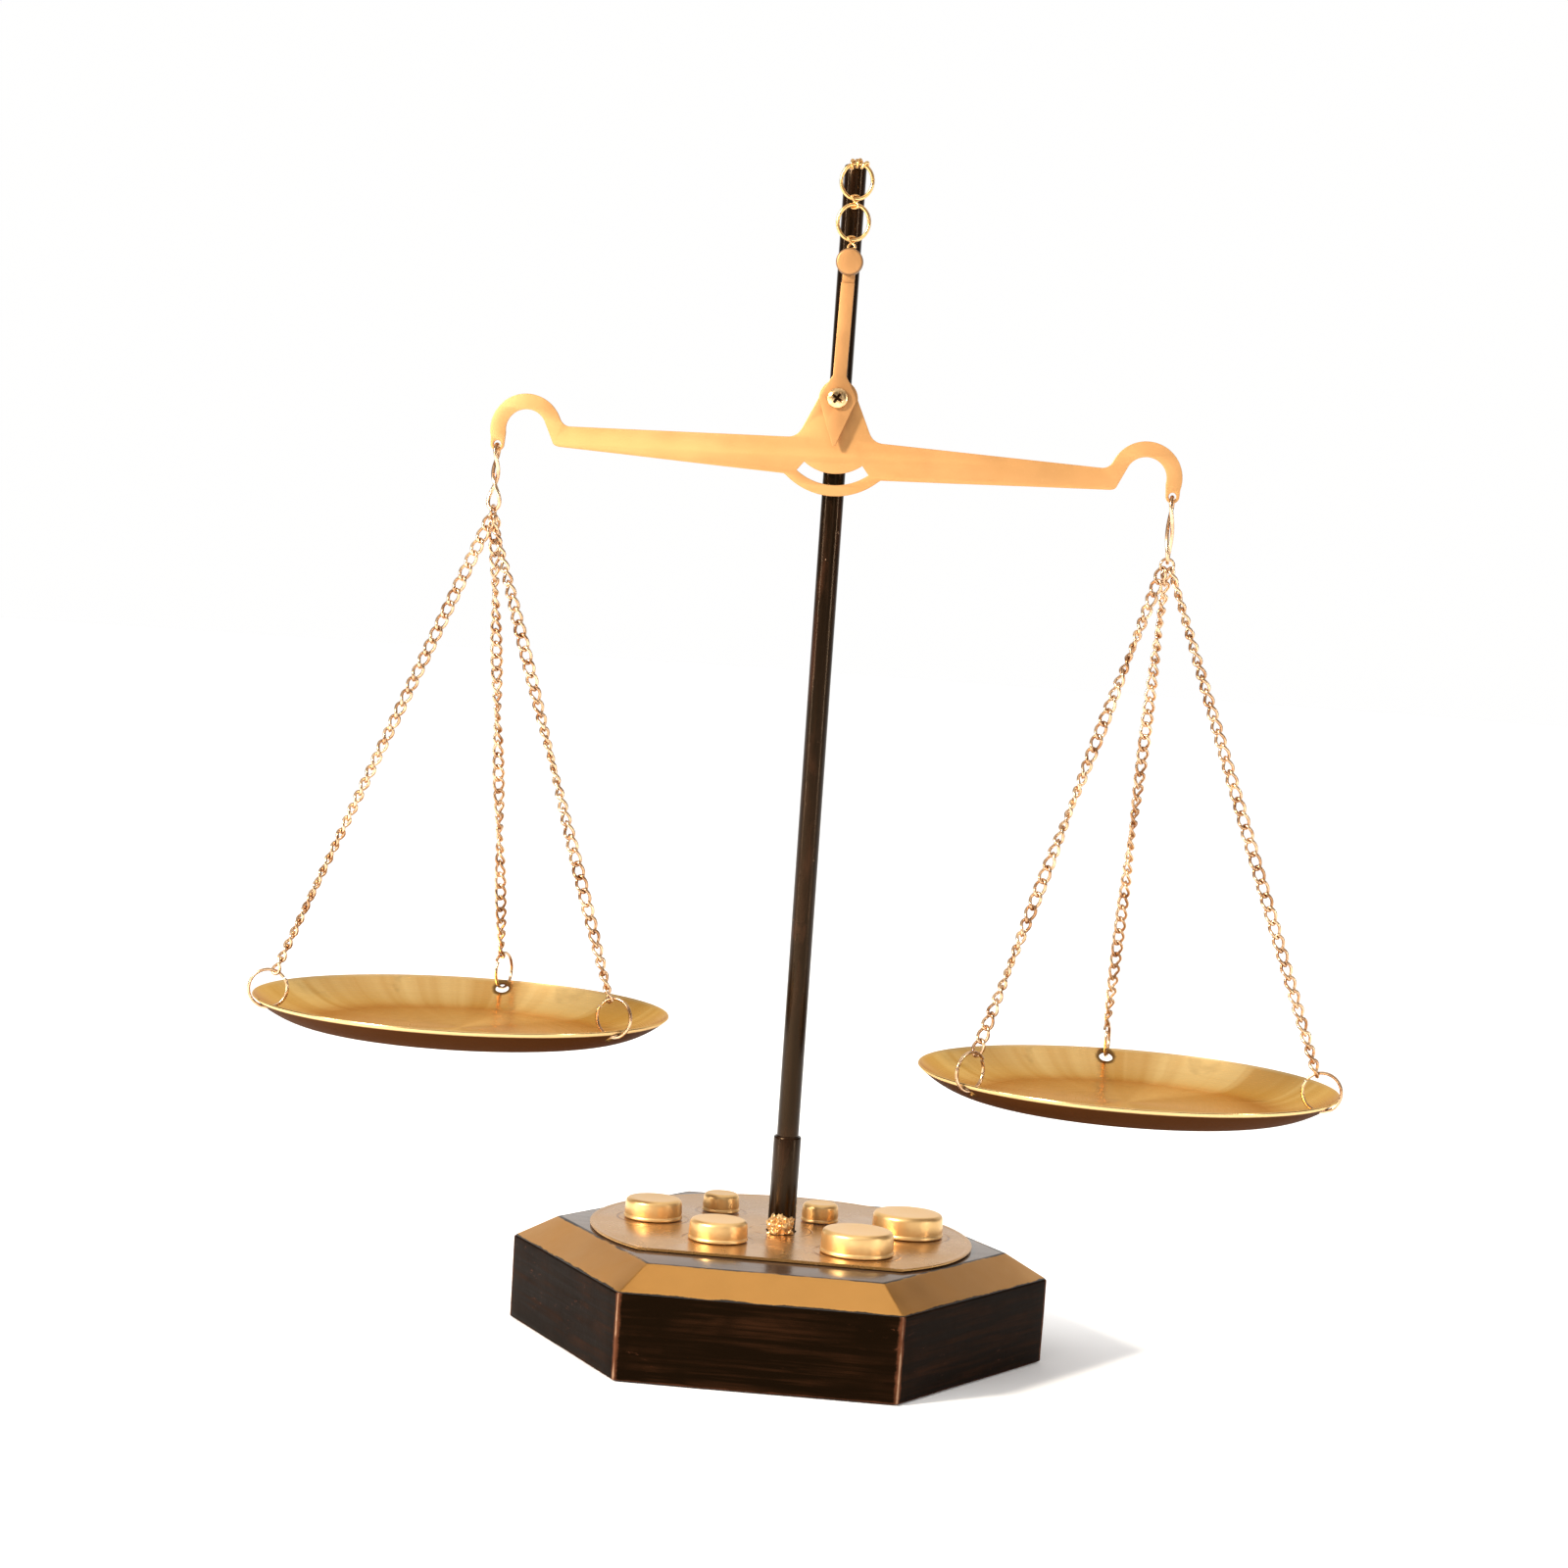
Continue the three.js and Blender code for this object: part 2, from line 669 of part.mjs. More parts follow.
function postGroup() {
  const group = new THREE.Group();
  const washerTop = baseTop - baseSheet - gap;
  addPart(group, 'post_bolt', postBolt(), plainSteel);
  addPart(group, 'post_washer',
    ringWasher(boltRadius + gap, 7, washerTop - washerThickness, washerTop, 28), plainSteel);
  addPart(group, 'post_rod', postRod(), antiquePaint);
  addPart(group, 'post_socket', postSocket(), antiquePaint);
  addPart(group, 'socket_weld', weldBead(), goldPaint);
  addPart(group, 'post_eye', postEye(), goldPaint);
  return group;
}

function pivotGroup() {
  const group = new THREE.Group();
  addPart(group, 'rear_spacer', pivotSpacer(rearSpacerBack, rearSpacer), plainSteel);
  addPart(group, 'front_spacer', pivotSpacer(frontSpacerBack, frontSpacer), plainSteel);
  addPart(group, 'pivot_screw', pivotScrew(), goldPaint);
  const bar = addPart(group, 'beam', beam(), goldPaint);
  bar.position.z = pivotHeight;
  bar.rotation.y = beamRestTilt;
  return group;
}

function hangerGroup() {
  const group = new THREE.Group();
  group.position.z = pivotHeight;
  group.rotation.y = hangerLean;
  addPart(group, 'pointer_plate', pointerPlate(), goldPaint);
  addPart(group, 'hanger_tab', hangerTab(), goldPaint);
  addPart(group, 'hanger_button', hangerButton(), goldPaint);
  const lower = addPart(group, 'ring_lower', hangerRing(), goldPaint);
  lower.position.set(0, hangerPlane, lowerRingRise);
  const upper = addPart(group, 'ring_upper', hangerRing(), goldPaint);
  upper.position.set(0, hangerPlane, upperRingRise);
  const around = hangerWire + linkPlay + linkWire;
  const lowerRingFoot = lowerRingRise - hangerRingHeight;
  const lowerRingTop = lowerRingRise + hangerRingHeight;
  const upperRingFoot = upperRingRise - hangerRingHeight;
  const tabHole = tabTop - tabNeckHalfWidth;
  addPart(group, 'link_lower', smallLink(tabHole, lowerRingFoot + around), goldPaint);
  addPart(group, 'link_upper', smallLink(lowerRingTop - around, upperRingFoot + around), goldPaint);
  return group;
}

const scale = new THREE.Group();
scale.add(baseGroup());
scale.add(postGroup());
scale.add(pivotGroup());
scale.add(hangerGroup());
for (const side of sides) {
  scale.add(hangingSide(side));
}
export default scale;
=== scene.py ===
import math

import bmesh
import bpy
from mathutils import Matrix, Vector, noise


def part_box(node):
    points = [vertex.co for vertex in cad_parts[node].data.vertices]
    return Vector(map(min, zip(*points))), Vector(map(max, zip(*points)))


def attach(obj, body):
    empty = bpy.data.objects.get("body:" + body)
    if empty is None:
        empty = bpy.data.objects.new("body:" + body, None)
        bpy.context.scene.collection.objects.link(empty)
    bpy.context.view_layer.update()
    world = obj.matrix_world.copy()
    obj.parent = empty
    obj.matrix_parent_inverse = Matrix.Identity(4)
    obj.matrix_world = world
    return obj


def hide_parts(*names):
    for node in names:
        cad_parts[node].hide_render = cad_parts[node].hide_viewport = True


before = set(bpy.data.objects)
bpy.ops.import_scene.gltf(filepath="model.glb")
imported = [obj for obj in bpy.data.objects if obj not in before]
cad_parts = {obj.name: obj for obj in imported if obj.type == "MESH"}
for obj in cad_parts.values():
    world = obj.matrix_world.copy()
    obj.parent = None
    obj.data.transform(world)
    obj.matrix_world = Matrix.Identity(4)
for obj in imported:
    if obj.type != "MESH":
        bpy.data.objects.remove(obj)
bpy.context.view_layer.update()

# Brass weighing scale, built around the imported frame. Metres, Z up, front is -Y.

mm = 0.001
scene = bpy.context.scene


def boxMiddle(node):
    low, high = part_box(node)
    return (low + high) / 2


# Camera and studio

cameraSettings = {
    "target": (-0.0103, 0.0, 0.2035),
    "distance": 1.2236,
    "azimuth": 4.0,  # degrees round to the object's right
    "elevation": 3.48,
    "roll": 4.0,  # the whole picture leans this much to the right
    "lens": 77.5,
}


def makeCamera(settings):
    azimuth = math.radians(settings["azimuth"])
    elevation = math.radians(settings["elevation"])
    roll = math.radians(settings["roll"])
    forward = Vector((
        -math.sin(azimuth) * math.cos(elevation),
        math.cos(azimuth) * math.cos(elevation),
        -math.sin(elevation),
    ))
    levelRight = Vector((math.cos(azimuth), math.sin(azimuth), 0))
    levelUp = levelRight.cross(forward)
    right = levelRight * math.cos(roll) + levelUp * math.sin(roll)
    up = levelUp * math.cos(roll) - levelRight * math.sin(roll)
    place = Vector(settings["target"]) - forward * settings["distance"]
    data = bpy.data.cameras.new("camera")
    data.lens = settings["lens"]
    data.clip_end = 60
    camera = bpy.data.objects.new("camera", data)
    turn = Matrix((right, up, -forward)).transposed().to_4x4()
    camera.matrix_world = Matrix.Translation(place) @ turn
    scene.collection.objects.link(camera)
    scene.camera = camera


studio = {
    "floorColour": (0.97, 0.968, 0.963),
    "floorRadius": 9.0,
    "white": (1.0, 0.998, 0.995),
    "ambient": (1.12, 1.11, 1.10),
    # what the metal mirrors: a dim front, a brighter top and a white backdrop
    "frontTone": (0.13, 0.12, 0.11),
    "backTone": (0.96, 0.94, 0.91),
    "topTone": (0.92, 0.87, 0.80),
    "toneReach": (0.30, 0.95),  # where each tone starts and is full, as a share of its direction
    # place, look-at point, width, height, watts, colour
    "lamps": {
        "keyLamp": ((-1.12, -1.05, 0.93), (0, 0, 0.3), 0.22, 0.22, 48, (1.0, 0.92, 0.80)),
        "leftStrip": ((-1.35, -0.55, 0.5), (0, 0, 0.2), 0.07, 1.0, 5, (1.0, 0.95, 0.88)),
        "frontFill": ((0.75, -1.9, 0.65), (0, 0, 0.2), 0.4, 0.8, 0.8, (1.0, 0.95, 0.88)),
        "rightStrip": ((1.45, -0.6, 0.5), (0, 0, 0.2), 0.06, 1.0, 5, (1.0, 0.96, 0.9)),
        "topSoft": ((0.15, 0.1, 1.7), (0, 0, 0.1), 1.2, 0.8, 5, (1.0, 0.98, 0.95)),
    },
    "unmirrored": ("topSoft",),  # lamps that no metal mirrors
}


def makeStudio(settings):
    floor = bpy.data.objects.new("studio_floor", latheMesh("studio_floor", [
        (0, 0), (0.5, 0), (2.0, 0), (settings["floorRadius"], 0)], 96))
    scene.collection.objects.link(floor)
    material = bpy.data.materials.new("pale_floor")
    material.use_nodes = True
    shader = material.node_tree.nodes["Principled BSDF"]
    shader.inputs["Base Color"].default_value = (*settings["floorColour"], 1)
    shader.inputs["Roughness"].default_value = 0.9
    shader.inputs["Specular IOR Level"].default_value = 0.1
    floor.data.materials.append(material)

    world = bpy.data.worlds.new("studio_world")
    world.use_nodes = True
    nodes = world.node_tree.nodes
    links = world.node_tree.links

    def mixed(share, first, second):
        mix = nodes.new("ShaderNodeMix")
        mix.data_type = "RGBA"
        links.new(share, mix.inputs["Factor"])
        for socket, colour in ((mix.inputs[6], first), (mix.inputs[7], second)):
            if isinstance(colour, tuple):
                socket.default_value = (*colour, 1)
            else:
                links.new(colour, socket)
        return mix.outputs[2]

    direction = nodes.new("ShaderNodeSeparateXYZ")
    links.new(nodes.new("ShaderNodeTexCoord").outputs["Generated"], direction.inputs[0])
    tone = settings["frontTone"]
    for axis, goal in (("Y", "backTone"), ("Z", "topTone")):
        reach = nodes.new("ShaderNodeMapRange")
        reach.interpolation_type = "SMOOTHSTEP"
        links.new(direction.outputs[axis], reach.inputs["Value"])
        reach.inputs["From Min"].default_value, reach.inputs["From Max"].default_value = settings["toneReach"]
        tone = mixed(reach.outputs["Result"], tone, settings[goal])
    ray = nodes.new("ShaderNodeLightPath").outputs
    plain = mixed(ray["Is Camera Ray"], settings["ambient"], settings["white"])
    links.new(mixed(ray["Is Glossy Ray"], plain, tone), nodes["Background"].inputs["Color"])
    scene.world = world

    for name, (place, aim, width, height, watts, colour) in settings["lamps"].items():
        data = bpy.data.lights.new(name, "AREA")
        data.shape = "RECTANGLE"
        data.size = width
        data.size_y = height
        data.energy = watts
        data.color = colour
        lamp = bpy.data.objects.new(name, data)
        lamp.location = place
        lamp.rotation_euler = (Vector(aim) - Vector(place)).to_track_quat("-Z", "Y").to_euler()
        lamp.visible_glossy = name not in settings["unmirrored"]
        scene.collection.objects.link(lamp)
    scene.view_settings.view_transform = "Standard"


# Mesh makers

def meshFrom(name, points, faces):
    mesh = bpy.data.meshes.new(name)
    mesh.from_pydata([tuple(point) for point in points], [], faces)
    mesh.update()
    return mesh


def shadeSmooth(mesh, angle):
    mesh.polygons.foreach_set("use_smooth", [True] * len(mesh.polygons))
    mesh.set_sharp_from_angle(angle=math.radians(angle))


def latheMesh(name, profile, segments, closed=False):
    # profile is [(radius, height)], from the bottom outwards and up
    points = []
    rows = []
    for radius, height in profile:
        if radius < 1e-7:
            rows.append([len(points)] * segments)
            points.append((0, 0, height))
            continue
        row = []
        for step in range(segments):
            turn = 2 * math.pi * step / segments
            row.append(len(points))
            points.append((radius * math.cos(turn), radius * math.sin(turn), height))
        rows.append(row)
    faces = []
    pairs = list(zip(rows, rows[1:]))
    if closed:
        pairs.append((rows[-1], rows[0]))
    for lower, upper in pairs:
        for step in range(segments):
            following = (step + 1) % segments
            corners = [lower[step], lower[following], upper[following], upper[step]]
            kept = [c for i, c in enumerate(corners) if c not in corners[:i]]
            if len(kept) > 2:
                faces.append(kept)
    return meshFrom(name, points, faces)


def tubeParts(path, radius, sides, closed=False):
    # One tube along a path, as points and faces, with its facets carried along evenly
    count = len(path)
    tangents = []
    for i in range(count):
        if closed:
            tangents.append((path[(i + 1) % count] - path[i - 1]).normalized())
        else:
            tangents.append((path[min(i + 1, count - 1)] - path[max(i - 1, 0)]).normalized())
    normals = [tangents[0].orthogonal().normalized()]
    for i in range(1, count):
        turn = tangents[i - 1].rotation_difference(tangents[i])
        normals.append((turn @ normals[-1]).normalized())
    drift = 0.0
    if closed:
        turn = tangents[-1].rotation_difference(tangents[0])
        back = turn @ normals[-1]
        drift = math.atan2(normals[0].cross(back).dot(tangents[0]), normals[0].dot(back))
    points = []
    for i in range(count):
        side = tangents[i].cross(normals[i])
        for step in range(sides):
            angle = 2 * math.pi * step / sides - drift * i / count
            out = normals[i] * math.cos(angle) + side * math.sin(angle)
            points.append(path[i] + out * radius)
    faces = []
    for i in range(count if closed else count - 1):
        a = i * sides
        b = ((i + 1) % count) * sides
        for step in range(sides):
            following = (step + 1) % sides
            faces.append([a + step, a + following, b + following, b + step])
    if not closed:
        faces.append(list(range(sides))[::-1])
        faces.append([(count - 1) * sides + step for step in range(sides)])
    return points, faces


def tubeMesh(name, path, radius, sides, closed=False):
    return meshFrom(name, *tubeParts(path, radius, sides, closed))


def reworked(mesh, work):
    # Opens a mesh for work on its points, edges and faces, and turns its faces outwards
    shape = bmesh.new()
    shape.from_mesh(mesh)
    work(shape)
    bmesh.ops.recalc_face_normals(shape, faces=shape.faces)
    shape.to_mesh(mesh)
    shape.free()
    return mesh


def turned(mesh, degrees, axis, place=(0, 0, 0)):
    mesh.transform(Matrix.Rotation(math.radians(degrees), 4, axis))
    mesh.transform(Matrix.Translation(place))
    return mesh


def roundOver(radius, height, rounding, steps):
    # Profile points over a rounded shoulder, from the side up to the top
    points = []
    for step in range(steps + 1):
        turn = math.radians(90 * step / steps)
        points.append((radius - rounding * (1 - math.cos(turn)), height - rounding * (1 - math.sin(turn))))
    return points


def arc(centreX, centreY, radius, start, end, steps):
    points = []
    for step in range(steps + 1):
        turn = math.radians(start + (end - start) * step / steps)
        points.append((centreX + radius * math.cos(turn), centreY + radius * math.sin(turn)))
    return points


def bend(start, corner, end, steps=8):
    points = []
    for step in range(steps + 1):
        t = step / steps
        points.append(tuple(
            (1 - t) ** 2 * a + 2 * t * (1 - t) * b + t * t * c
            for a, b, c in zip(start, corner, end)
        ))
    return points


def sheetMesh(name, outlines, thickness, edge, frontY):
    # A flat sheet in the XZ plane with softened edges; outlines are in millimetres,
    # the first is the outside and the others are holes
    curve = bpy.data.curves.new(name, "CURVE")
    curve.dimensions = "2D"
    curve.fill_mode = "BOTH"
    curve.extrude = (thickness / 2 - edge) * mm
    curve.bevel_depth = edge * mm
    curve.bevel_resolution = 2
    curve.offset = -edge * mm
    for outline in outlines:
        spline = curve.splines.new("POLY")
        spline.points.add(len(outline) - 1)
        spline.use_cyclic_u = True
        for point, (x, y) in zip(spline.points, outline):
            point.co = (x * mm, y * mm, 0, 1)
    holder = bpy.data.objects.new(name, curve)
    scene.collection.objects.link(holder)
    bpy.context.view_layer.update()
    mesh = bpy.data.meshes.new_from_object(holder.evaluated_get(bpy.context.evaluated_depsgraph_get()))
    bpy.data.objects.remove(holder)
    bpy.data.curves.remove(curve)
    reworked(mesh, lambda shape: bmesh.ops.remove_doubles(shape, verts=shape.verts, dist=2e-6))
    mesh.name = name
    return turned(mesh, 90, "X", (0, frontY + thickness * mm / 2, 0))


def addPiece(name, mesh, body, material, replaced=(), place=None, smooth=38):
    piece = bpy.data.objects.new(name, mesh)
    scene.collection.objects.link(piece)
    if place is not None:
        piece.location = place
    shadeSmooth(mesh, smooth)
    mesh.materials.clear()
    mesh.materials.append(material)
    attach(piece, body)
    if replaced:
        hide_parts(*replaced)
    return piece


# Material makers

class Finish:
    # A short way to write a node material: every method adds a node and returns its output

    def __init__(self, name):
        self.material = bpy.data.materials.new(name)
        self.material.use_nodes = True
        self.tree = self.material.node_tree
        self.shader = self.tree.nodes["Principled BSDF"]
        self.place = self.add("ShaderNodeTexCoord").outputs["Object"]

    def add(self, kind, **settings):
        node = self.tree.nodes.new(kind)
        for key, value in settings.items():
            setattr(node, key, value)
        return node

    def put(self, socket, value):
        if isinstance(value, bpy.types.NodeSocket):
            self.tree.links.new(value, socket)
        elif value is not None:
            socket.default_value = value

    def math(self, operation, a, b=None, clamp=False):
        node = self.add("ShaderNodeMath", operation=operation, use_clamp=clamp)
        for socket, value in zip(node.inputs, (a, b)):
            self.put(socket, value)
        return node.outputs[0]

    def plus(self, a, b):
        return self.math("ADD", a, b)

    def minus(self, a, b):
        return self.math("SUBTRACT", a, b)

    def times(self, a, b):
        return self.math("MULTIPLY", a, b)

    def stretched(self, scale):
        node = self.add("ShaderNodeMapping")
        self.put(node.inputs["Vector"], self.place)
        node.inputs["Scale"].default_value = scale
        return node.outputs[0]

    def split(self, source=None):
        node = self.add("ShaderNodeSeparateXYZ")
        self.put(node.inputs[0], source or self.place)
        return node.outputs

    def joined(self, x, y, z):
        node = self.add("ShaderNodeCombineXYZ")
        for socket, value in zip(node.inputs, (x, y, z)):
            self.put(socket, value)
        return node.outputs[0]

    def noise(self, scale, detail=3.0, source=None, roughness=0.55, warp=0.0):
        node = self.add("ShaderNodeTexNoise")
        self.put(node.inputs["Vector"], source or self.place)
        node.inputs["Scale"].default_value = scale
        node.inputs["Detail"].default_value = detail
        node.inputs["Roughness"].default_value = roughness
        node.inputs["Distortion"].default_value = warp
        return node.outputs["Fac"]

    def ramp(self, source, low, high, fromValue=0.0, toValue=1.0):
        node = self.add("ShaderNodeMapRange", clamp=True)
        self.put(node.inputs["Value"], source)
        for key, value in zip(("From Min", "From Max", "To Min", "To Max"), (low, high, fromValue, toValue)):
            node.inputs[key].default_value = value
        return node.outputs["Result"]

    def blotches(self, scale, detail, *limits):
        return self.ramp(self.noise(scale, detail), *limits)

    def blend(self, factor, first, second):
        node = self.add("ShaderNodeMix", data_type="RGBA")
        self.put(node.inputs["Factor"], factor)
        for socket, colour in ((node.inputs[6], first), (node.inputs[7], second)):
            self.put(socket, (*colour, 1) if isinstance(colour, tuple) else colour)
        return node.outputs[2]

    def bump(self, height, depth, strength=1.0, normal=None):
        node = self.add("ShaderNodeBump")
        node.inputs["Strength"].default_value = strength
        node.inputs["Distance"].default_value = depth
        self.put(node.inputs["Height"], height)
        self.put(node.inputs["Normal"], normal)
        return node.outputs[0]

    def length(self, a, b):
        return self.math("SQRT", self.plus(self.times(a, a), self.times(b, b)))

    def radius(self):
        x, y, z = self.split()
        return self.length(x, y)

    def set(self, **values):
        names = {
            "colour": "Base Color", "metal": "Metallic", "rough": "Roughness", "normal": "Normal",
            "shine": "Specular IOR Level", "coat": "Coat Weight", "coatRough": "Coat Roughness",
            "streak": "Anisotropic", "streakTurn": "Anisotropic Rotation", "tangent": "Tangent",
            "sheen": "Sheen Weight", "tint": "Specular Tint",
        }
        for key, value in values.items():
            self.put(self.shader.inputs[names[key]], (*value, 1) if isinstance(value, tuple) else value)
        return self.material


goldPaintLook = {
    "light": (0.86, 0.50, 0.20),
    "deep": (0.78, 0.43, 0.155),
    "wearAndGrooveShade": (0.27, 0.115, 0.035),
    "metal": 0.85,
    "rough": 0.40,
    "grainSize": 2600,
    "cloudSize": 22,
}


def goldPaint(name, look, darkEdgeMask=None, rough=None, lumps=0.0, dents=1.0):
    finish = Finish(name)
    clouds = finish.noise(look["cloudSize"], 4)
    grain = finish.noise(look["grainSize"], 2)
    flakes = finish.noise(look["grainSize"] * 0.45, 1)
    colour = finish.blend(finish.ramp(clouds, 0.35, 0.68), look["deep"], look["light"])
    specks = finish.ramp(flakes, 0.62, 0.74, 0.0, 0.35)
    colour = finish.blend(specks, colour, look["light"])
    scuffs = finish.ramp(finish.noise(130, 6, finish.stretched((1, 1, 2.4)), 0.7), 0.66, 0.78, 0.0, 0.45)
    colour = finish.blend(scuffs, colour, look["wearAndGrooveShade"])
    metal = look["metal"]
    if darkEdgeMask is not None:
        # the caller's mask darkens edges: with real dark paint in some places and with painted shade in
        # others, as each caller says
        darkEdge = darkEdgeMask(finish)
        colour = finish.blend(darkEdge, colour, darkPaintLook["base"])
        metal = finish.ramp(darkEdge, 0, 1, look["metal"], 0.1)
    base = rough or look["rough"]
    roughness = finish.blotches(55, 5, 0.3, 0.7, base - 0.07, base + 0.09)
    normal = finish.bump(grain, 0.00006 * (0.2 + 0.8 * dents), 0.35)
    normal = finish.bump(finish.noise(180, 3), 0.00012 * dents + lumps, 0.35, normal)
    return finish.set(colour=colour, metal=metal, rough=roughness, normal=normal)


darkPaintLook = {
    "base": (0.0042, 0.0019, 0.0007),
    "streak": (0.018, 0.0066, 0.0026),
    "rubbed": (0.105, 0.036, 0.017),
    "pale": (0.42, 0.26, 0.16),
    "rough": 0.42,
    "shine": 0.02,
    "tint": (1.0, 0.66, 0.40),
}


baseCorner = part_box("base_shell")[1].x


def cornerDistance(finish):
    # Level distance from the nearest of the six upright edges, in metres
    x, y, z = finish.split()
    turn = finish.math("ARCTAN2", y, x)
    sixth = math.radians(60)
    inside = finish.math("PINGPONG", finish.plus(turn, 6 * sixth), sixth / 2)
    return finish.times(inside, baseCorner), turn, z


def darkWallPaint(name, look, wallBottom):
    finish = Finish(name)
    fromCorner, turn, z = cornerDistance(finish)
    along = finish.times(turn, baseCorner)
    brushed = finish.joined(finish.times(along, 16), 0.0, finish.times(z, 420))
    strokes = finish.noise(1.0, 5, brushed, 0.6)
    patches = finish.noise(38, 3, warp=0.6)
    streaks = finish.times(finish.ramp(strokes, 0.46, 0.66), finish.ramp(patches, 0.34, 0.60))
    colour = finish.blend(streaks, look["base"], look["streak"])
    # short rubbed marks
    marks = finish.noise(1.0, 6, finish.joined(finish.times(along, 170), 3.1, finish.times(z, 620)), 0.75)
    rare = finish.ramp(finish.noise(26, 2, warp=1.2), 0.57, 0.66)
    marks = finish.times(finish.ramp(marks, 0.60, 0.70, 0, 0.75), rare)
    colour = finish.blend(marks, colour, look["rubbed"])
    # the upright edges are rubbed through, the top and bottom edges only here and there
    wander = finish.noise(210, 5, roughness=0.7)
    edge = finish.minus(finish.times(wander, 0.0021), fromCorner)
    edgeMask = finish.ramp(edge, -0.0004, 0.0006, 0, 0.8)
    colour = finish.blend(edgeMask, colour, look["rubbed"])
    spots = finish.times(finish.noise(330, 4), finish.blotches(75, 3, 0.45, 0.62))
    thin = finish.minus(finish.times(spots, 0.0009), fromCorner)
    colour = finish.blend(finish.ramp(thin, -0.0001, 0.0003, 0, 0.5), colour, look["pale"])
    foot = finish.minus(finish.times(finish.noise(150, 5), 0.0012), finish.minus(z, wallBottom))
    colour = finish.blend(finish.ramp(foot, -0.0002, 0.0003, 0, 0.5), colour, look["rubbed"])
    roughness = finish.ramp(strokes, 0.3, 0.75, look["rough"] - 0.05, look["rough"] + 0.13)
    normal = finish.bump(strokes, 0.00022, 0.5)
    normal = finish.bump(finish.noise(95, 4), 0.0003, 0.4, normal)
    return finish.set(colour=colour, metal=0.0, rough=roughness, normal=normal,
                      shine=look["shine"], tint=look["tint"])


glossyTopLook = {
    "deep": (0.040, 0.022, 0.012),
    "light": (0.085, 0.046, 0.026),
    "shine": 0.6,
    "tint": (1.0, 0.72, 0.50),
    "coat": 0.08,
}


def glossyTopPaint(name, look):
    # The flat top: dark lacquer, glossy enough to mirror the weights
    finish = Finish(name)
    clouds = finish.noise(30, 4)
    colour = finish.blend(finish.ramp(clouds, 0.35, 0.7), look["deep"], look["light"])
    smears = finish.noise(1.0, 4, finish.stretched((45, 260, 100)), 0.6)
    roughness = finish.ramp(smears, 0.35, 0.7, 0.13, 0.24)
    normal = finish.bump(finish.noise(70, 3), 0.00018, 0.25)
    return finish.set(colour=colour, metal=0.0, rough=roughness, normal=normal,
                      shine=look["shine"], tint=look["tint"], coat=look["coat"], coatRough=0.14)


def postPaint(name, look):
    finish = Finish(name)
    x, y, z = finish.split()
    turn = finish.math("ARCTAN2", y, x)
    drawn = finish.joined(finish.times(turn, 3.2), 0.0, finish.times(z, 26))
    lines = finish.noise(1.0, 5, drawn, 0.65)
    colour = finish.blend(finish.ramp(lines, 0.50, 0.74, 0, 0.6), look["base"], look["streak"])
    wear = finish.ramp(finish.noise(60, 4, finish.stretched((1.6, 1.6, 0.5)), warp=0.8), 0.50, 0.66)
    wear = finish.times(wear, finish.blotches(14, 2, 0.42, 0.62, 0, 0.28))
    colour = finish.blend(wear, colour, look["rubbed"])
    chips = finish.blotches(520, 3, 0.73, 0.78, 0, 0.8)
    colour = finish.blend(chips, colour, look["pale"])
    # polished towards the top
    polish = finish.ramp(z, 0.16, 0.36, 0.10, 0)
    roughness = finish.plus(finish.ramp(lines, 0.3, 0.7, 0.09, 0.17), polish)
    normal = finish.bump(lines, 0.00012, 0.4)
    normal = finish.bump(finish.noise(300, 3), 0.00004, 0.3, normal)
    return finish.set(colour=colour, metal=0.0, rough=roughness, normal=normal, shine=0.28, tint=look["tint"])


panBrassLook = {
    "inside": (0.70, 0.395, 0.125),
    "pale": (0.90, 0.62, 0.26),
    "floor": (0.74, 0.445, 0.16),
    "under": (0.055, 0.017, 0.004),
    "rim": (0.82, 0.56, 0.26),
    "rough": 0.25,
    "streak": 0.72,
    "edgeTint": (0.80, 0.60, 0.36),
    "turnedLines": 5200,  # lathe lines, per metre
}


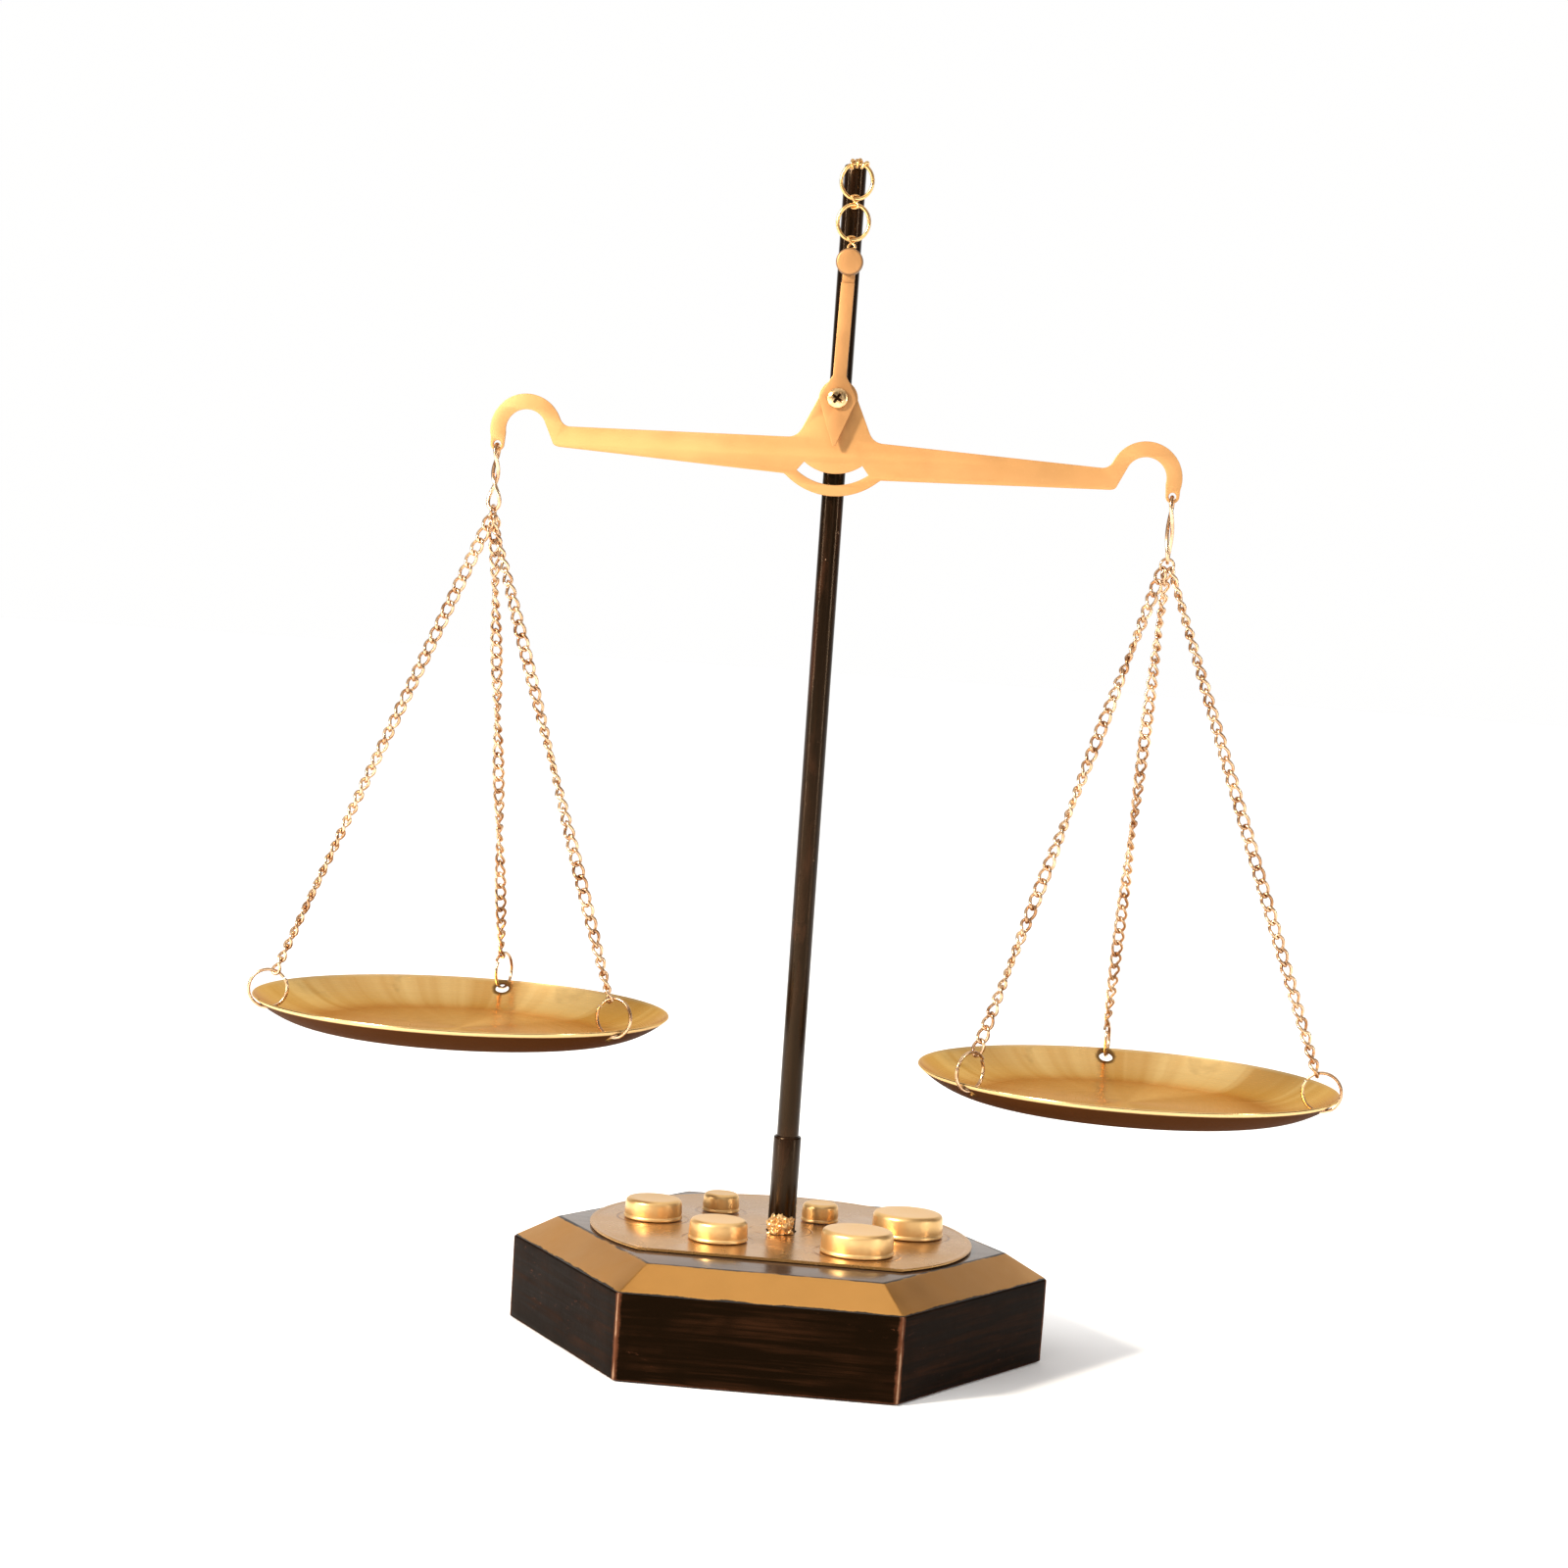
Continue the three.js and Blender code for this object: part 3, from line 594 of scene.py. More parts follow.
def panBrass(name, look, rimRadius, floorRadius, holes):
    # Spun brass: fine turned lines, which draw every light out into a radial streak
    finish = Finish(name)
    x, y, z = finish.split()
    radius = finish.radius()
    rings = finish.noise(1.0, 5, finish.joined(finish.times(radius, look["turnedLines"]), 0.0, 0.0), 0.7)
    broad = finish.noise(1.0, 3, finish.joined(finish.times(radius, 240), 0.3, 0.0))
    turn = finish.math("ARCTAN2", y, x)
    around = [finish.times(finish.math(wave, turn), 3.6) for wave in ("COSINE", "SINE")]
    # painted highlight: lighter radial streaks, fixed round the pan, stand in for the streaks that light
    # draws across turned brass
    paintedStreaks = finish.noise(1.0, 4, finish.joined(*around, 0.4), 0.62)
    colour = finish.blend(finish.ramp(paintedStreaks, 0.42, 0.60), look["inside"], look["pale"])
    speckle = finish.ramp(finish.noise(420, 5, roughness=0.75), 0.35, 0.65, 0.35, 0.95)
    onFloor = finish.ramp(radius, floorRadius - 0.0012, floorRadius + 0.0002, 1, 0)
    colour = finish.blend(finish.times(onFloor, speckle), colour, look["floor"])
    # painted shade: a little darker along the crease where the floor meets the wall
    crease = finish.ramp(finish.math("ABSOLUTE", finish.minus(radius, floorRadius)), 0.0001, 0.0009, 0.5, 0)
    colour = finish.blend(crease, colour, look["inside"])
    colour = finish.blend(finish.ramp(broad, 0.45, 0.75, 0, 0.25), colour, look["inside"])
    stains = finish.ramp(finish.noise(48, 5, warp=0.5), 0.60, 0.74, 0, 0.28)
    colour = finish.blend(stains, colour, look["under"])
    # painted shade: the underside is painted dark and made less metallic, as if it lay in the shade under the
    # pan
    facing = finish.add("ShaderNodeNewGeometry").outputs["Normal"]
    underside = finish.ramp(finish.split(facing)[2], -0.25, 0.05, 1, 0)
    colour = finish.blend(underside, colour, look["under"])
    # painted highlight: the rolled rim is painted lighter, as a bright edge
    rim = finish.ramp(radius, rimRadius - 0.0009, rimRadius - 0.0003)
    colour = finish.blend(rim, colour, look["rim"])
    # a dark band round each hole
    near = None
    for holeX, holeY in holes:
        away = finish.length(finish.minus(x, holeX), finish.minus(y, holeY))
        near = away if near is None else finish.math("MINIMUM", near, away)
    near = finish.minus(near, finish.times(finish.noise(420, 3), 0.0016))
    colour = finish.blend(finish.ramp(near, 0.0024, 0.0034, 0.8, 0), colour, look["under"])
    roughness = finish.ramp(rings, 0.3, 0.7, look["rough"] - 0.05, look["rough"] + 0.08)
    roughness = finish.math("ADD", roughness, finish.times(underside, 0.5), clamp=True)
    normal = finish.bump(rings, 0.00003, 0.5)
    normal = finish.bump(finish.noise(900, 2, finish.stretched((1, 1, 0.2))), 0.00002, 0.3, normal)
    tangent = finish.add("ShaderNodeTangent", direction_type="RADIAL", axis="Z").outputs[0]
    metal = finish.ramp(underside, 0, 1, 1, 0.15)
    return finish.set(colour=colour, metal=metal, rough=roughness, normal=normal, shine=0.05,
                      streak=look["streak"], streakTurn=0.25, tangent=tangent, tint=look["edgeTint"])


chainGoldLook = {
    "light": (0.87, 0.62, 0.40),
    "deep": (0.38, 0.19, 0.085),
    "mottle": 0.35,
    "rough": 0.20,
}


hangerBrassLook = {
    "light": (0.90, 0.58, 0.25),
    "deep": (0.66, 0.37, 0.13),
    "mottle": 0.1,
    "rough": 0.24,
}


def chainGold(name, look):
    finish = Finish(name)
    tone = finish.noise(150, 3)
    colour = finish.blend(finish.ramp(tone, 0.36, 0.66), look["light"], look["deep"])
    dull = finish.blotches(900, 3, 0.55, 0.75, 0, look["mottle"])
    colour = finish.blend(dull, colour, look["deep"])
    roughness = finish.blotches(420, 3, 0.3, 0.7, look["rough"] - 0.06, look["rough"] + 0.12)
    normal = finish.bump(finish.noise(900, 2), 0.00001, 0.3)
    return finish.set(colour=colour, metal=1.0, rough=roughness, normal=normal)


def zincSteel(name):
    finish = Finish(name)
    spangle = finish.add("ShaderNodeTexVoronoi")
    finish.put(spangle.inputs["Vector"], finish.place)
    spangle.inputs["Scale"].default_value = 260
    bright = finish.ramp(spangle.outputs["Distance"], 0.1, 0.7)
    colour = finish.blend(bright, (0.34, 0.35, 0.37), (0.52, 0.53, 0.54))
    roughness = finish.blotches(300, 4, 0.3, 0.7, 0.30, 0.46)
    normal = finish.bump(finish.noise(700, 3), 0.00004, 0.5)
    return finish.set(colour=colour, metal=0.95, rough=roughness, normal=normal)


def blackFelt(name):
    finish = Finish(name)
    fibres = finish.noise(2400, 4, finish.stretched((1, 1, 3)), 0.8, 1.5)
    colour = finish.blend(finish.ramp(fibres, 0.3, 0.7), (0.010, 0.009, 0.008), (0.035, 0.032, 0.030))
    normal = finish.bump(fibres, 0.0004, 0.9)
    return finish.set(colour=colour, metal=0.0, rough=0.95, normal=normal, sheen=0.4)


# Base

baseLook = {
    "shoulderCorner": 0.0816,
    "wallTop": 0.0308,
    "sheet": 0.0012,
    "wallRound": 0.0007,
    "shoulderRound": 0.0006,
    "plateRound": 0.0003,
    "dent": 0.00016,  # how far the folded sheet wanders from flat
    "gold": {"light": (0.58, 0.295, 0.080), "deep": (0.52, 0.26, 0.068)},
}


def hexRing(corner, z):
    return [Vector((corner * math.cos(math.radians(60 * k)), corner * math.sin(math.radians(60 * k)), z))
            for k in range(6)]


def hexMesh(name, rings, roundEdge, capLast=False, cuts=10, dent=0.0):
    # Six-sided rings joined in order, each flat cut finely so that it can wander a little
    points = [point for ring in rings for point in hexRing(*ring)]
    faces = []
    for level in range(len(rings) - 1):
        for k in range(6):
            a = level * 6 + k
            b = level * 6 + (k + 1) % 6
            faces.append([a, b, b + 6, a + 6])
    if capLast:
        faces.append([(len(rings) - 1) * 6 + k for k in range(6)])

    def work(shape):
        sharp = [e for e in shape.edges if e.is_manifold and e.calc_face_angle(0) > math.radians(15)]
        bmesh.ops.bevel(shape, geom=sharp, offset=roundEdge, segments=3, profile=0.6, affect="EDGES")
        longEdges = [e for e in shape.edges if e.calc_length() > 0.006]
        bmesh.ops.subdivide_edges(shape, edges=longEdges, cuts=cuts, use_grid_fill=True)
        for vert in shape.verts:
            sway = noise.noise(vert.co * 28) + 0.5 * noise.noise(vert.co * 75)
            flat = Vector((vert.co.x, vert.co.y, 0)).normalized()
            vert.co += (flat - Vector((0, 0, 0.5))) * sway * dent

    return reworked(meshFrom(name, points, faces), work)


def makeBase(look):
    low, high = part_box("base_shell")
    corner = high.x
    top = high.z
    shoulder = look["shoulderCorner"]
    wallTop = look["wallTop"]
    sheet = look["sheet"]

    def edgePaintAndFoldShade(finish):
        # dark paint laps unevenly over the shoulder's lower edge; the dark band along its upper edge, in the
        # fold against the top plate, is painted shade
        z = finish.split()[2]
        wavy = finish.times(finish.noise(85, 5, roughness=0.65), 0.0016)
        foot = finish.minus(finish.plus(wallTop - 0.0002, wavy), z)
        # painted shade: a dark band where the shoulder folds in against the top plate
        head = finish.minus(z, finish.minus(top + 0.0001, finish.times(wavy, 0.55)))
        return finish.math("MAXIMUM", finish.ramp(foot, 0.0, 0.00025), finish.ramp(head, 0.0, 0.00022))

    walls = hexMesh("base_walls", [
        (corner - 2 * sheet, low.z + 0.0006),
        (corner - 0.0003, low.z),
        (corner - 0.0001, wallTop - 0.0001),
        (corner - 2 * sheet, wallTop + 0.0002),
    ], roundEdge=look["wallRound"], dent=look["dent"])
    addPiece("base_walls", walls, "stand",
             darkWallPaint("brushed_dark_paint", darkPaintLook, low.z), ["base_shell"])

    slope = hexMesh("base_shoulder", [
        (corner - 3 * sheet, wallTop - 0.0012),
        (corner - 0.0003, wallTop),
        (shoulder + 0.0004, top),
        (shoulder - 2 * sheet, top - 0.0003),
    ], roundEdge=look["shoulderRound"], dent=look["dent"])
    gold = goldPaint("shoulder_gold", {**goldPaintLook, **look["gold"]}, edgePaintAndFoldShade, rough=0.38)
    addPiece("base_shoulder", slope, "stand", gold, ["base_shell"])

    plate = hexMesh("base_top_plate", [
        (shoulder - 0.0002, top - 0.0014),
        (shoulder - 0.0002, top - 0.0001),
    ], roundEdge=look["plateRound"], capLast=True, cuts=1)
    addPiece("base_top_plate", plate, "stand",
             glossyTopPaint("glossy_top", glossyTopLook), ["base_shell"])


# Disc and weights

discLook = {
    "edgeRound": 0.00035,
    "grooveOut": 0.0023,  # each locating groove lies this far outside what it surrounds
    "grooveWidth": 0.00045,
    "grooveDepth": 0.00025,
    "middleCircle": 0.0113,  # radius of the groove round the post
    "hole": 0.0056,
    "light": (0.58, 0.32, 0.108),
    "deep": (0.48, 0.255, 0.080),
    "flake": (0.92, 0.62, 0.33),
}

weightNames = [
    "weight_medium_left", "weight_small_left", "weight_medium_front",
    "weight_small_right", "weight_large_right", "weight_large_front",
]


def makeDisc(look):
    low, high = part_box("top_disc")
    radius = high.x
    e = look["edgeRound"]
    hole = look["hole"]
    profile = [(hole, low.z), (radius - e, low.z), (radius, low.z + e), (radius, high.z - e)]
    profile += [(radius - 0.3 * e, high.z - 0.3 * e), (radius - e, high.z), (radius - 0.0016, high.z)]
    profile += [(radius - 0.0021, high.z - 0.00012), (radius - 0.0026, high.z), (hole, high.z)]
    circles = [(0.0, 0.0, look["middleCircle"])]
    for name in weightNames:
        foot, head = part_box(name)
        middle = boxMiddle(name)
        circles.append((middle.x, middle.y, (head.x - foot.x) / 2 + look["grooveOut"]))
    finish = Finish("disc_gold")
    x, y, z = finish.split()
    nearest = None
    for centreX, centreY, size in circles:
        away = finish.length(finish.minus(x, centreX), finish.minus(y, centreY))
        line = finish.math("ABSOLUTE", finish.minus(away, size))
        nearest = line if nearest is None else finish.math("MINIMUM", nearest, line)
    groove = finish.ramp(nearest, look["grooveWidth"] * 0.4, look["grooveWidth"] * 1.3, 1, 0)
    groove = finish.times(groove, finish.blotches(60, 2, 0.42, 0.56))
    clouds = finish.noise(26, 4)
    paint = goldPaintLook
    colour = finish.blend(finish.ramp(clouds, 0.35, 0.68), look["deep"], look["light"])
    flakes = finish.ramp(finish.noise(paint["grainSize"] * 0.45, 1), 0.60, 0.74, 0, 0.35)
    colour = finish.blend(flakes, colour, look["flake"])
    # painted shade: the grooves are painted darker, with the colour used for the scuffs
    colour = finish.blend(finish.times(groove, 0.8), colour, paint["wearAndGrooveShade"])
    roughness = finish.blotches(55, 5, 0.3, 0.7, 0.22, 0.33)
    normal = finish.bump(finish.minus(1.0, groove), look["grooveDepth"], 0.9)
    normal = finish.bump(finish.noise(paint["grainSize"], 2), 0.00001, 0.3, normal)
    normal = finish.bump(finish.noise(60, 2), 0.00006, 0.25, normal)
    material = finish.set(colour=colour, metal=paint["metal"], rough=roughness, normal=normal)

    def cutFrontStraight(shape):
        everything = shape.verts[:] + shape.edges[:] + shape.faces[:]
        cut = bmesh.ops.bisect_plane(
            shape, geom=everything, plane_co=(0, low.y, 0), plane_no=(0, 1, 0), clear_inner=True)
        rim = [item for item in cut["geom_cut"] if isinstance(item, bmesh.types.BMEdge)]
        bmesh.ops.contextual_create(shape, geom=rim)

    mesh = reworked(latheMesh("gold_disc", profile, 160, closed=True), cutFrontStraight)
    addPiece("gold_disc", mesh, "stand", material, ["top_disc"])


weightLook = {
    "lip": 0.00016,  # how far the foot stands out from the body
    "topRound": 0.0017,
    "taper": 0.00025,
    "grooveDepth": 0.00012,
    "footShare": 0.17,  # the foot's height, as a share of the whole
    "gold": {"light": (0.92, 0.61, 0.27), "deep": (0.84, 0.52, 0.205)},
}


def makeWeights(look):
    paint = goldPaint("weight_gold", {**goldPaintLook, **look["gold"]}, rough=0.35, dents=0.03)
    for name in weightNames:
        low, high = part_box(name)
        radius = (high.x - low.x) / 2
        height = high.z - low.z
        body = radius - look["lip"]
        groove = body - look["grooveDepth"]
        foot = look["footShare"] * height
        profile = [(0, 0), (radius - 0.0003, 0), (radius, 0.0003), (radius, foot - 0.0003)]
        profile += [(radius - 0.0002, foot), (groove, foot + 0.0001), (groove, foot + 0.0005)]
        profile.append((body, foot + 0.0009))
        shoulder = body - look["taper"]
        profile += roundOver(shoulder, height, look["topRound"], 6)
        profile += [(shoulder * 0.6, height - 0.00012), (shoulder * 0.3, height - 0.0002)]
        profile.append((0, height - 0.00022))
        middle = boxMiddle(name)
        addPiece(name.replace("weight", "gold_weight"), latheMesh(name + "_turned", profile, 72), "stand",
                 paint, [name], (middle.x, middle.y, low.z))


# Post, socket, weld and top coil

postLook = {"topRound": 0.0009, "socketRound": 0.0004, "socketInside": 0.0042}
weldLook = {
    # each lobe's place from the bead's middle, and its size
    "lobes": [
        (0.0, 0.0, 0.0004, 1.2),
        (-0.0023, -0.0004, 0.0014, 0.72),
        (0.0022, -0.0002, 0.0012, 0.80),
        (-0.0016, -0.0008, -0.0010, 0.85),
        (0.0020, -0.0006, -0.0014, 0.80),
    ],
    "radius": 0.0029,
    "lump": 0.0016,
    "gold": {"light": (0.93, 0.66, 0.34), "deep": (0.74, 0.42, 0.16)},
}
hangerRingWire = 0.00065
coilLook = {"turns": 3, "wire": 0.00055, "reach": 0.0014, "spread": 34}


def makePost(look):
    low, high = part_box("post_rod")
    radius = high.x
    e = look["topRound"]
    profile = [(0, low.z), (radius, low.z)]
    profile += [(radius, low.z + (high.z - e - low.z) * k / 60) for k in range(1, 60)]
    profile += roundOver(radius, high.z, e, 5) + [(0, high.z)]
    paint = postPaint("post_paint", darkPaintLook)
    addPiece("post_tube", latheMesh("post_tube", profile, 48), "stand", paint, ["post_rod"])

    low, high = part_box("post_socket")
    radius = high.x
    e = look["socketRound"]
    inside = look["socketInside"]
    profile = [(inside, low.z), (radius, low.z), (radius, (low.z + high.z) / 2), (radius, high.z - 2 * e)]
    profile += [(radius - 0.3 * e, high.z - 0.6 * e), (radius - e, high.z), (inside, high.z)]
    sleeve = latheMesh("post_sleeve", profile, 48, closed=True)
    addPiece("post_sleeve", sleeve, "stand", paint, ["post_socket"])


def makeWeld(look):
    # Lumpy braze at the foot of the sleeve: overlapping lobes, pushed about and pressed on the disc
    low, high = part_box("socket_weld")
    centre = Vector(((low.x + high.x) / 2, low.y + 0.0024, low.z + 0.0022))
    shape = bmesh.new()
    for dx, dy, dz, size in look["lobes"]:
        lobe = bmesh.ops.create_icosphere(shape, subdivisions=4, radius=look["radius"] * size)["verts"]
        for vert in lobe:
            spot = vert.co.copy()
            out = spot.normalized()
            push = noise.noise(spot * 520 + Vector((dx, dz, dy)) * 4000)
            push += 0.6 * noise.noise(spot * 1500 + Vector((dx, dz, dy)) * 9000)
            vert.co = spot + out * push * look["lump"]
            vert.co.z *= 1.05
            vert.co += centre + Vector((dx, dy, dz))
            vert.co.z = max(vert.co.z, low.z - 0.0001)
    mesh = bpy.data.meshes.new("braze_bead")
    shape.to_mesh(mesh)
    shape.free()
    paint = goldPaint("braze_gold", {**goldPaintLook, **look["gold"]}, rough=0.34, lumps=0.0004)
    addPiece("braze_bead", mesh, "stand", paint, ["socket_weld"])


def makeTopCoil(look, paint):
    # A wire that is let into the post's top, and wound round the upper ring
    low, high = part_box("ring_upper")
    middle = boxMiddle("ring_upper")
    ringX = (high.x - low.x) / 2 - hangerRingWire
    ringZ = (high.z - low.z) / 2 - hangerRingWire
    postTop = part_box("post_rod")[1].z
    stem = [(0, 0, -0.004), (0, 0, -0.001), (0, -0.0006, 0.0008), (0.0008, -0.0035, 0.0013)]
    path = [Vector((x, y, postTop + rise)) for x, y, rise in stem]
    steps = 20 * look["turns"]
    for step in range(steps + 1):
        t = step / steps
        along = math.radians(90 - look["spread"] + 2 * look["spread"] * t)
        around = 2 * math.pi * look["turns"] * t - math.pi / 2
        centre = middle + Vector((ringX * math.cos(along), 0, ringZ * math.sin(along)))
        outward = Vector((math.cos(along), 0, math.sin(along)))
        path.append(centre + outward * look["reach"] * math.cos(around)
                    + Vector((0, -1, 0)) * look["reach"] * math.sin(around))
    coil = tubeMesh("top_coil", smoothPath(path, 3), look["wire"], 10)
    addPiece("top_coil", coil, "stand", paint, ["post_eye"])


def smoothPath(path, cuts):
    # Catmull-Rom through every point
    points = []
    for i in range(len(path) - 1):
        a = path[max(i - 1, 0)]
        b = path[i]
        c = path[i + 1]
        d = path[min(i + 2, len(path) - 1)]
        for cut in range(cuts):
            t = cut / cuts
            points.append(0.5 * (2 * b + (c - a) * t + (2 * a - 5 * b + 4 * c - d) * t * t
                                 + (3 * b - a - 3 * c + d) * t ** 3))
    points.append(path[-1].copy())
    return points


# Beam, pointer plate and screw

beamLook = {
    "edge": 0.22,  # softened edge of the cut sheet, in millimetres
    "sheet": 1.5,
    "pivotHeight": 0.343,
    "restTilt": 0.6,
    "hub": 25, "hubDrop": 9.8, "windowInner": 17, "windowOuter": 21, "windowHalfAngle": 38,
    "tipX": 121.5, "tipDrop": 25.4, "tipHole": 1.35, "pivotHole": 2.25,
}


def halfBeamOutline(look):
    root = math.degrees(math.asin((look["hubDrop"] - 27.9) / look["hub"]))
    outline = arc(0, 0, 7.0, 90, 0, 14)
    outline += bend((12, -11), (13.6, -14.75), (17.5, -14.75))
    outline += [(37, -15.36), (56.5, -15.98), (76, -16.59)]
    outline += bend((95.5, -17.2), (98.1, -17.2), (99.3, -15.0))
    outline += arc(111.5, -19.6, 13, 160, -15, 36)
    outline += arc(look["tipX"], -look["tipDrop"], 2.5, -15, -165, 10)
    outline += arc(111.5, -19.6, 7.4, -12, 150, 28)
    outline += bend((101.4, -23.7), (100.7, -24.8), (98.5, -24.8))
    outline += [(71.5, -25.8), (44.5, -26.9)]
    outline += [(17.5, -27.9)] + arc(0, -look["hubDrop"], look["hub"], root, -90, 24)[1:]
    return outline


def makeBeam(look, paint):
    half = halfBeamOutline(look)
    mirrored = [(-x, y) for x, y in reversed(half)]
    outline = half + mirrored[1:-1]
    drop = -look["hubDrop"]
    spread = look["windowHalfAngle"]
    window = arc(0, drop, look["windowOuter"], -90 - spread, -90 + spread, 30)
    window += arc(0, drop, look["windowInner"], -90 + spread, -90 - spread, 26)
    holes = [window, arc(0, 0, look["pivotHole"], 0, 350, 35)]
    for side in (-1, 1):
        holes.append(arc(side * look["tipX"], -look["tipDrop"], look["tipHole"], 0, 345, 23))
    low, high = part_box("beam")
    mesh = sheetMesh("beam_sheet", [outline] + holes, look["sheet"], look["edge"], low.y)
    turned(mesh, look["restTilt"], "Y", (0, 0, look["pivotHeight"]))
    addPiece("beam_sheet", mesh, "beam", paint, ["beam"])


hangerLook = {
    # in millimetres and degrees
    "lean": 1.0, "plate": 1.2, "tab": 1.0, "plateEdge": 0.2, "tabEdge": 0.15, "pivotHole": 2.25,
    "button": 4.85, "buttonDeep": 3.0, "buttonRise": 48.4, "buttonRound": 0.9,
    "eyeRise": 54.0, "eye": 0.85, "eyeOutside": 1.3,
}


def leant(mesh):
    # Tips a piece of the hanger about the pivot, and lifts it to the pivot's height
    return turned(mesh, hangerLook["lean"], "Y", (0, 0, beamLook["pivotHeight"]))


def makePointer(look, gold):
    paint = goldPaint("pointer_gold", gold, rough=0.45)
    right = [(0.5, -17), (3.4, -9.2), (6.4, -1.2)]
    right += bend((6.4, -1.2), (6.8, 0), (6.2, 1.4), 5)[1:]
    right += bend((6.2, 1.4), (3.8, 5.6), (2.4, 8), 7)[1:]
    right += [(2.4, 24), (2.4, 41)]
    outline = right + [(-x, y) for x, y in reversed(right)]
    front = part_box("pointer_plate")[0].y
    plate = sheetMesh("pointer_sheet", [outline, arc(0, 0, look["pivotHole"], 0, 350, 35)], look["plate"],
                      look["plateEdge"], front)
    addPiece("pointer_sheet", leant(plate), "stand", paint, ["pointer_plate"])

    outline = [(-2.2, 37), (2.2, 37), (2.2, 48.4), (1.3, 50.6)]
    outline += arc(0, look["eyeRise"], look["eyeOutside"], 0, 180, 12) + [(-1.3, 50.6), (-2.2, 48.4)]
    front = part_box("hanger_tab")[0].y
    eye = arc(0, look["eyeRise"], look["eye"], 0, 345, 23)
    tab = sheetMesh("hanger_tab_sheet", [outline, eye], look["tab"], look["tabEdge"], front)
    addPiece("hanger_tab_sheet", leant(tab), "stand", paint, ["hanger_tab"])

    radius = look["button"] * mm
    deep = look["buttonDeep"] * mm
    profile = [(0, -0.0018), (0.0012, -0.0018), (0.0012, 0), (radius - 0.0003, 0), (radius, 0.0003)]
    profile += roundOver(radius, deep, look["buttonRound"] * mm, 6)
    profile += [(radius * 0.5, deep + 0.0001), (0, deep + 0.00014)]
    seat = (0, front - 0.0003, look["buttonRise"] * mm)
    button = leant(turned(latheMesh("round_button", profile, 72), 90, "X", seat))
    across = [vertex.co.x for vertex in button.vertices]
    upward = [vertex.co.z for vertex in button.vertices]
    middle = ((min(across) + max(across)) / 2, (min(upward) + max(upward)) / 2)

    # painted shade: the button's face darkens towards its rounded rim
    def buttonRimShade(finish):
        x, y, z = finish.split()
        away = finish.length(finish.minus(x, middle[0]), finish.minus(z, middle[1]))
        return finish.ramp(away, radius - 0.0009, radius - 0.0003, 0, 0.65)

    buttonPaint = goldPaint("button_gold", gold, buttonRimShade, rough=0.42)
    addPiece("round_button", button, "stand", buttonPaint, ["hanger_button"])


screwLook = {
    "radius": 0.0037,
    "height": 0.0023,
    "shank": 0.002,
    "slot": 0.00042,
    "reach": 0.0021,
    "depth": 0.0013,
    "turn": 57,
    "domeDrop": 0.42,
    "domePower": 3.2,
    "wallSoft": 0.00012,
    "endSoft": 0.0006,
    "light": (0.86, 0.60, 0.32),
    "deep": (0.60, 0.35, 0.15),
    "slotShade": (0.06, 0.028, 0.012),
}


def makeScrew(look):
    # Pan head as rings of points, each pressed in where the cross lies
    low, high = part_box("pivot_screw")
    segments = 120
    ringCount = 34
    crossTurn = math.radians(look["turn"])

    def headHeight(radius):
        share = radius / look["radius"]
        if share < 0.985:
            return look["height"] * (1 - look["domeDrop"] * share ** look["domePower"])
        return look["height"] * 0.52

    def recess(x, y):
        u = x * math.cos(crossTurn) + y * math.sin(crossTurn)
        v = -x * math.sin(crossTurn) + y * math.cos(crossTurn)
        best = 0.0
        for along, across in ((u, v), (v, u)):
            wall = min(1.0, max(0.0, (look["slot"] - abs(across)) / look["wallSoft"] + 0.5))
            end = min(1.0, max(0.0, (look["reach"] - abs(along)) / look["endSoft"]))
            best = max(best, wall * end)
        return best * look["depth"]

    points = [Vector((0, 0, headHeight(0) - recess(0, 0)))]
    for ring in range(1, ringCount + 1):
        radius = look["radius"] * ring / ringCount
        for step in range(segments):
            turn = 2 * math.pi * step / segments
            x = radius * math.cos(turn)
            y = radius * math.sin(turn)
            points.append(Vector((x, y, headHeight(radius) - recess(x, y))))
    shank = look["shank"]
    for radius, z in ((look["radius"], 0.0), (shank, 0.0), (shank, low.y + look["height"] - high.y)):
        for step in range(segments):
            turn = 2 * math.pi * step / segments
            points.append(Vector((radius * math.cos(turn), radius * math.sin(turn), z)))
    faces = [[0, 1 + step, 1 + (step + 1) % segments] for step in range(segments)]
    for ring in range(ringCount + 2):
        a = 1 + ring * segments
        b = a + segments
        for step in range(segments):
            following = (step + 1) % segments
            faces.append([a + step, b + step, b + following, a + following])
    faces.append([1 + (ringCount + 2) * segments + step for step in range(segments)][::-1])
    mesh = turned(meshFrom("cross_screw", points, faces), 90, "X",
                  (0, low.y + look["height"], beamLook["pivotHeight"]))
    finish = Finish("screw_brass")
    colour = finish.blend(finish.blotches(700, 3, 0.35, 0.7), look["light"], look["deep"])
    x, y, z = finish.split()
    rise = finish.minus(z, beamLook["pivotHeight"])
    fromAxis = finish.plus(finish.math("ABSOLUTE", x), finish.math("ABSOLUTE", rise))
    # painted shade: the cross recess is painted dark, darker deeper in
    slotShadeMask = finish.times(finish.ramp(y, low.y + 0.0006, low.y + 0.0011),
                          finish.ramp(fromAxis, 0.0026, 0.0030, 1, 0))
    colour = finish.blend(slotShadeMask, colour, look["slotShade"])
    roughness = finish.blotches(1500, 2, 0.3, 0.7, 0.16, 0.30)
    normal = finish.bump(finish.noise(2500, 2), 0.00003, 0.4)
    material = finish.set(colour=colour, metal=1.0, rough=roughness, normal=normal)
    addPiece("cross_screw", mesh, "stand", material, ["pivot_screw"])


# Rings, links, hooks

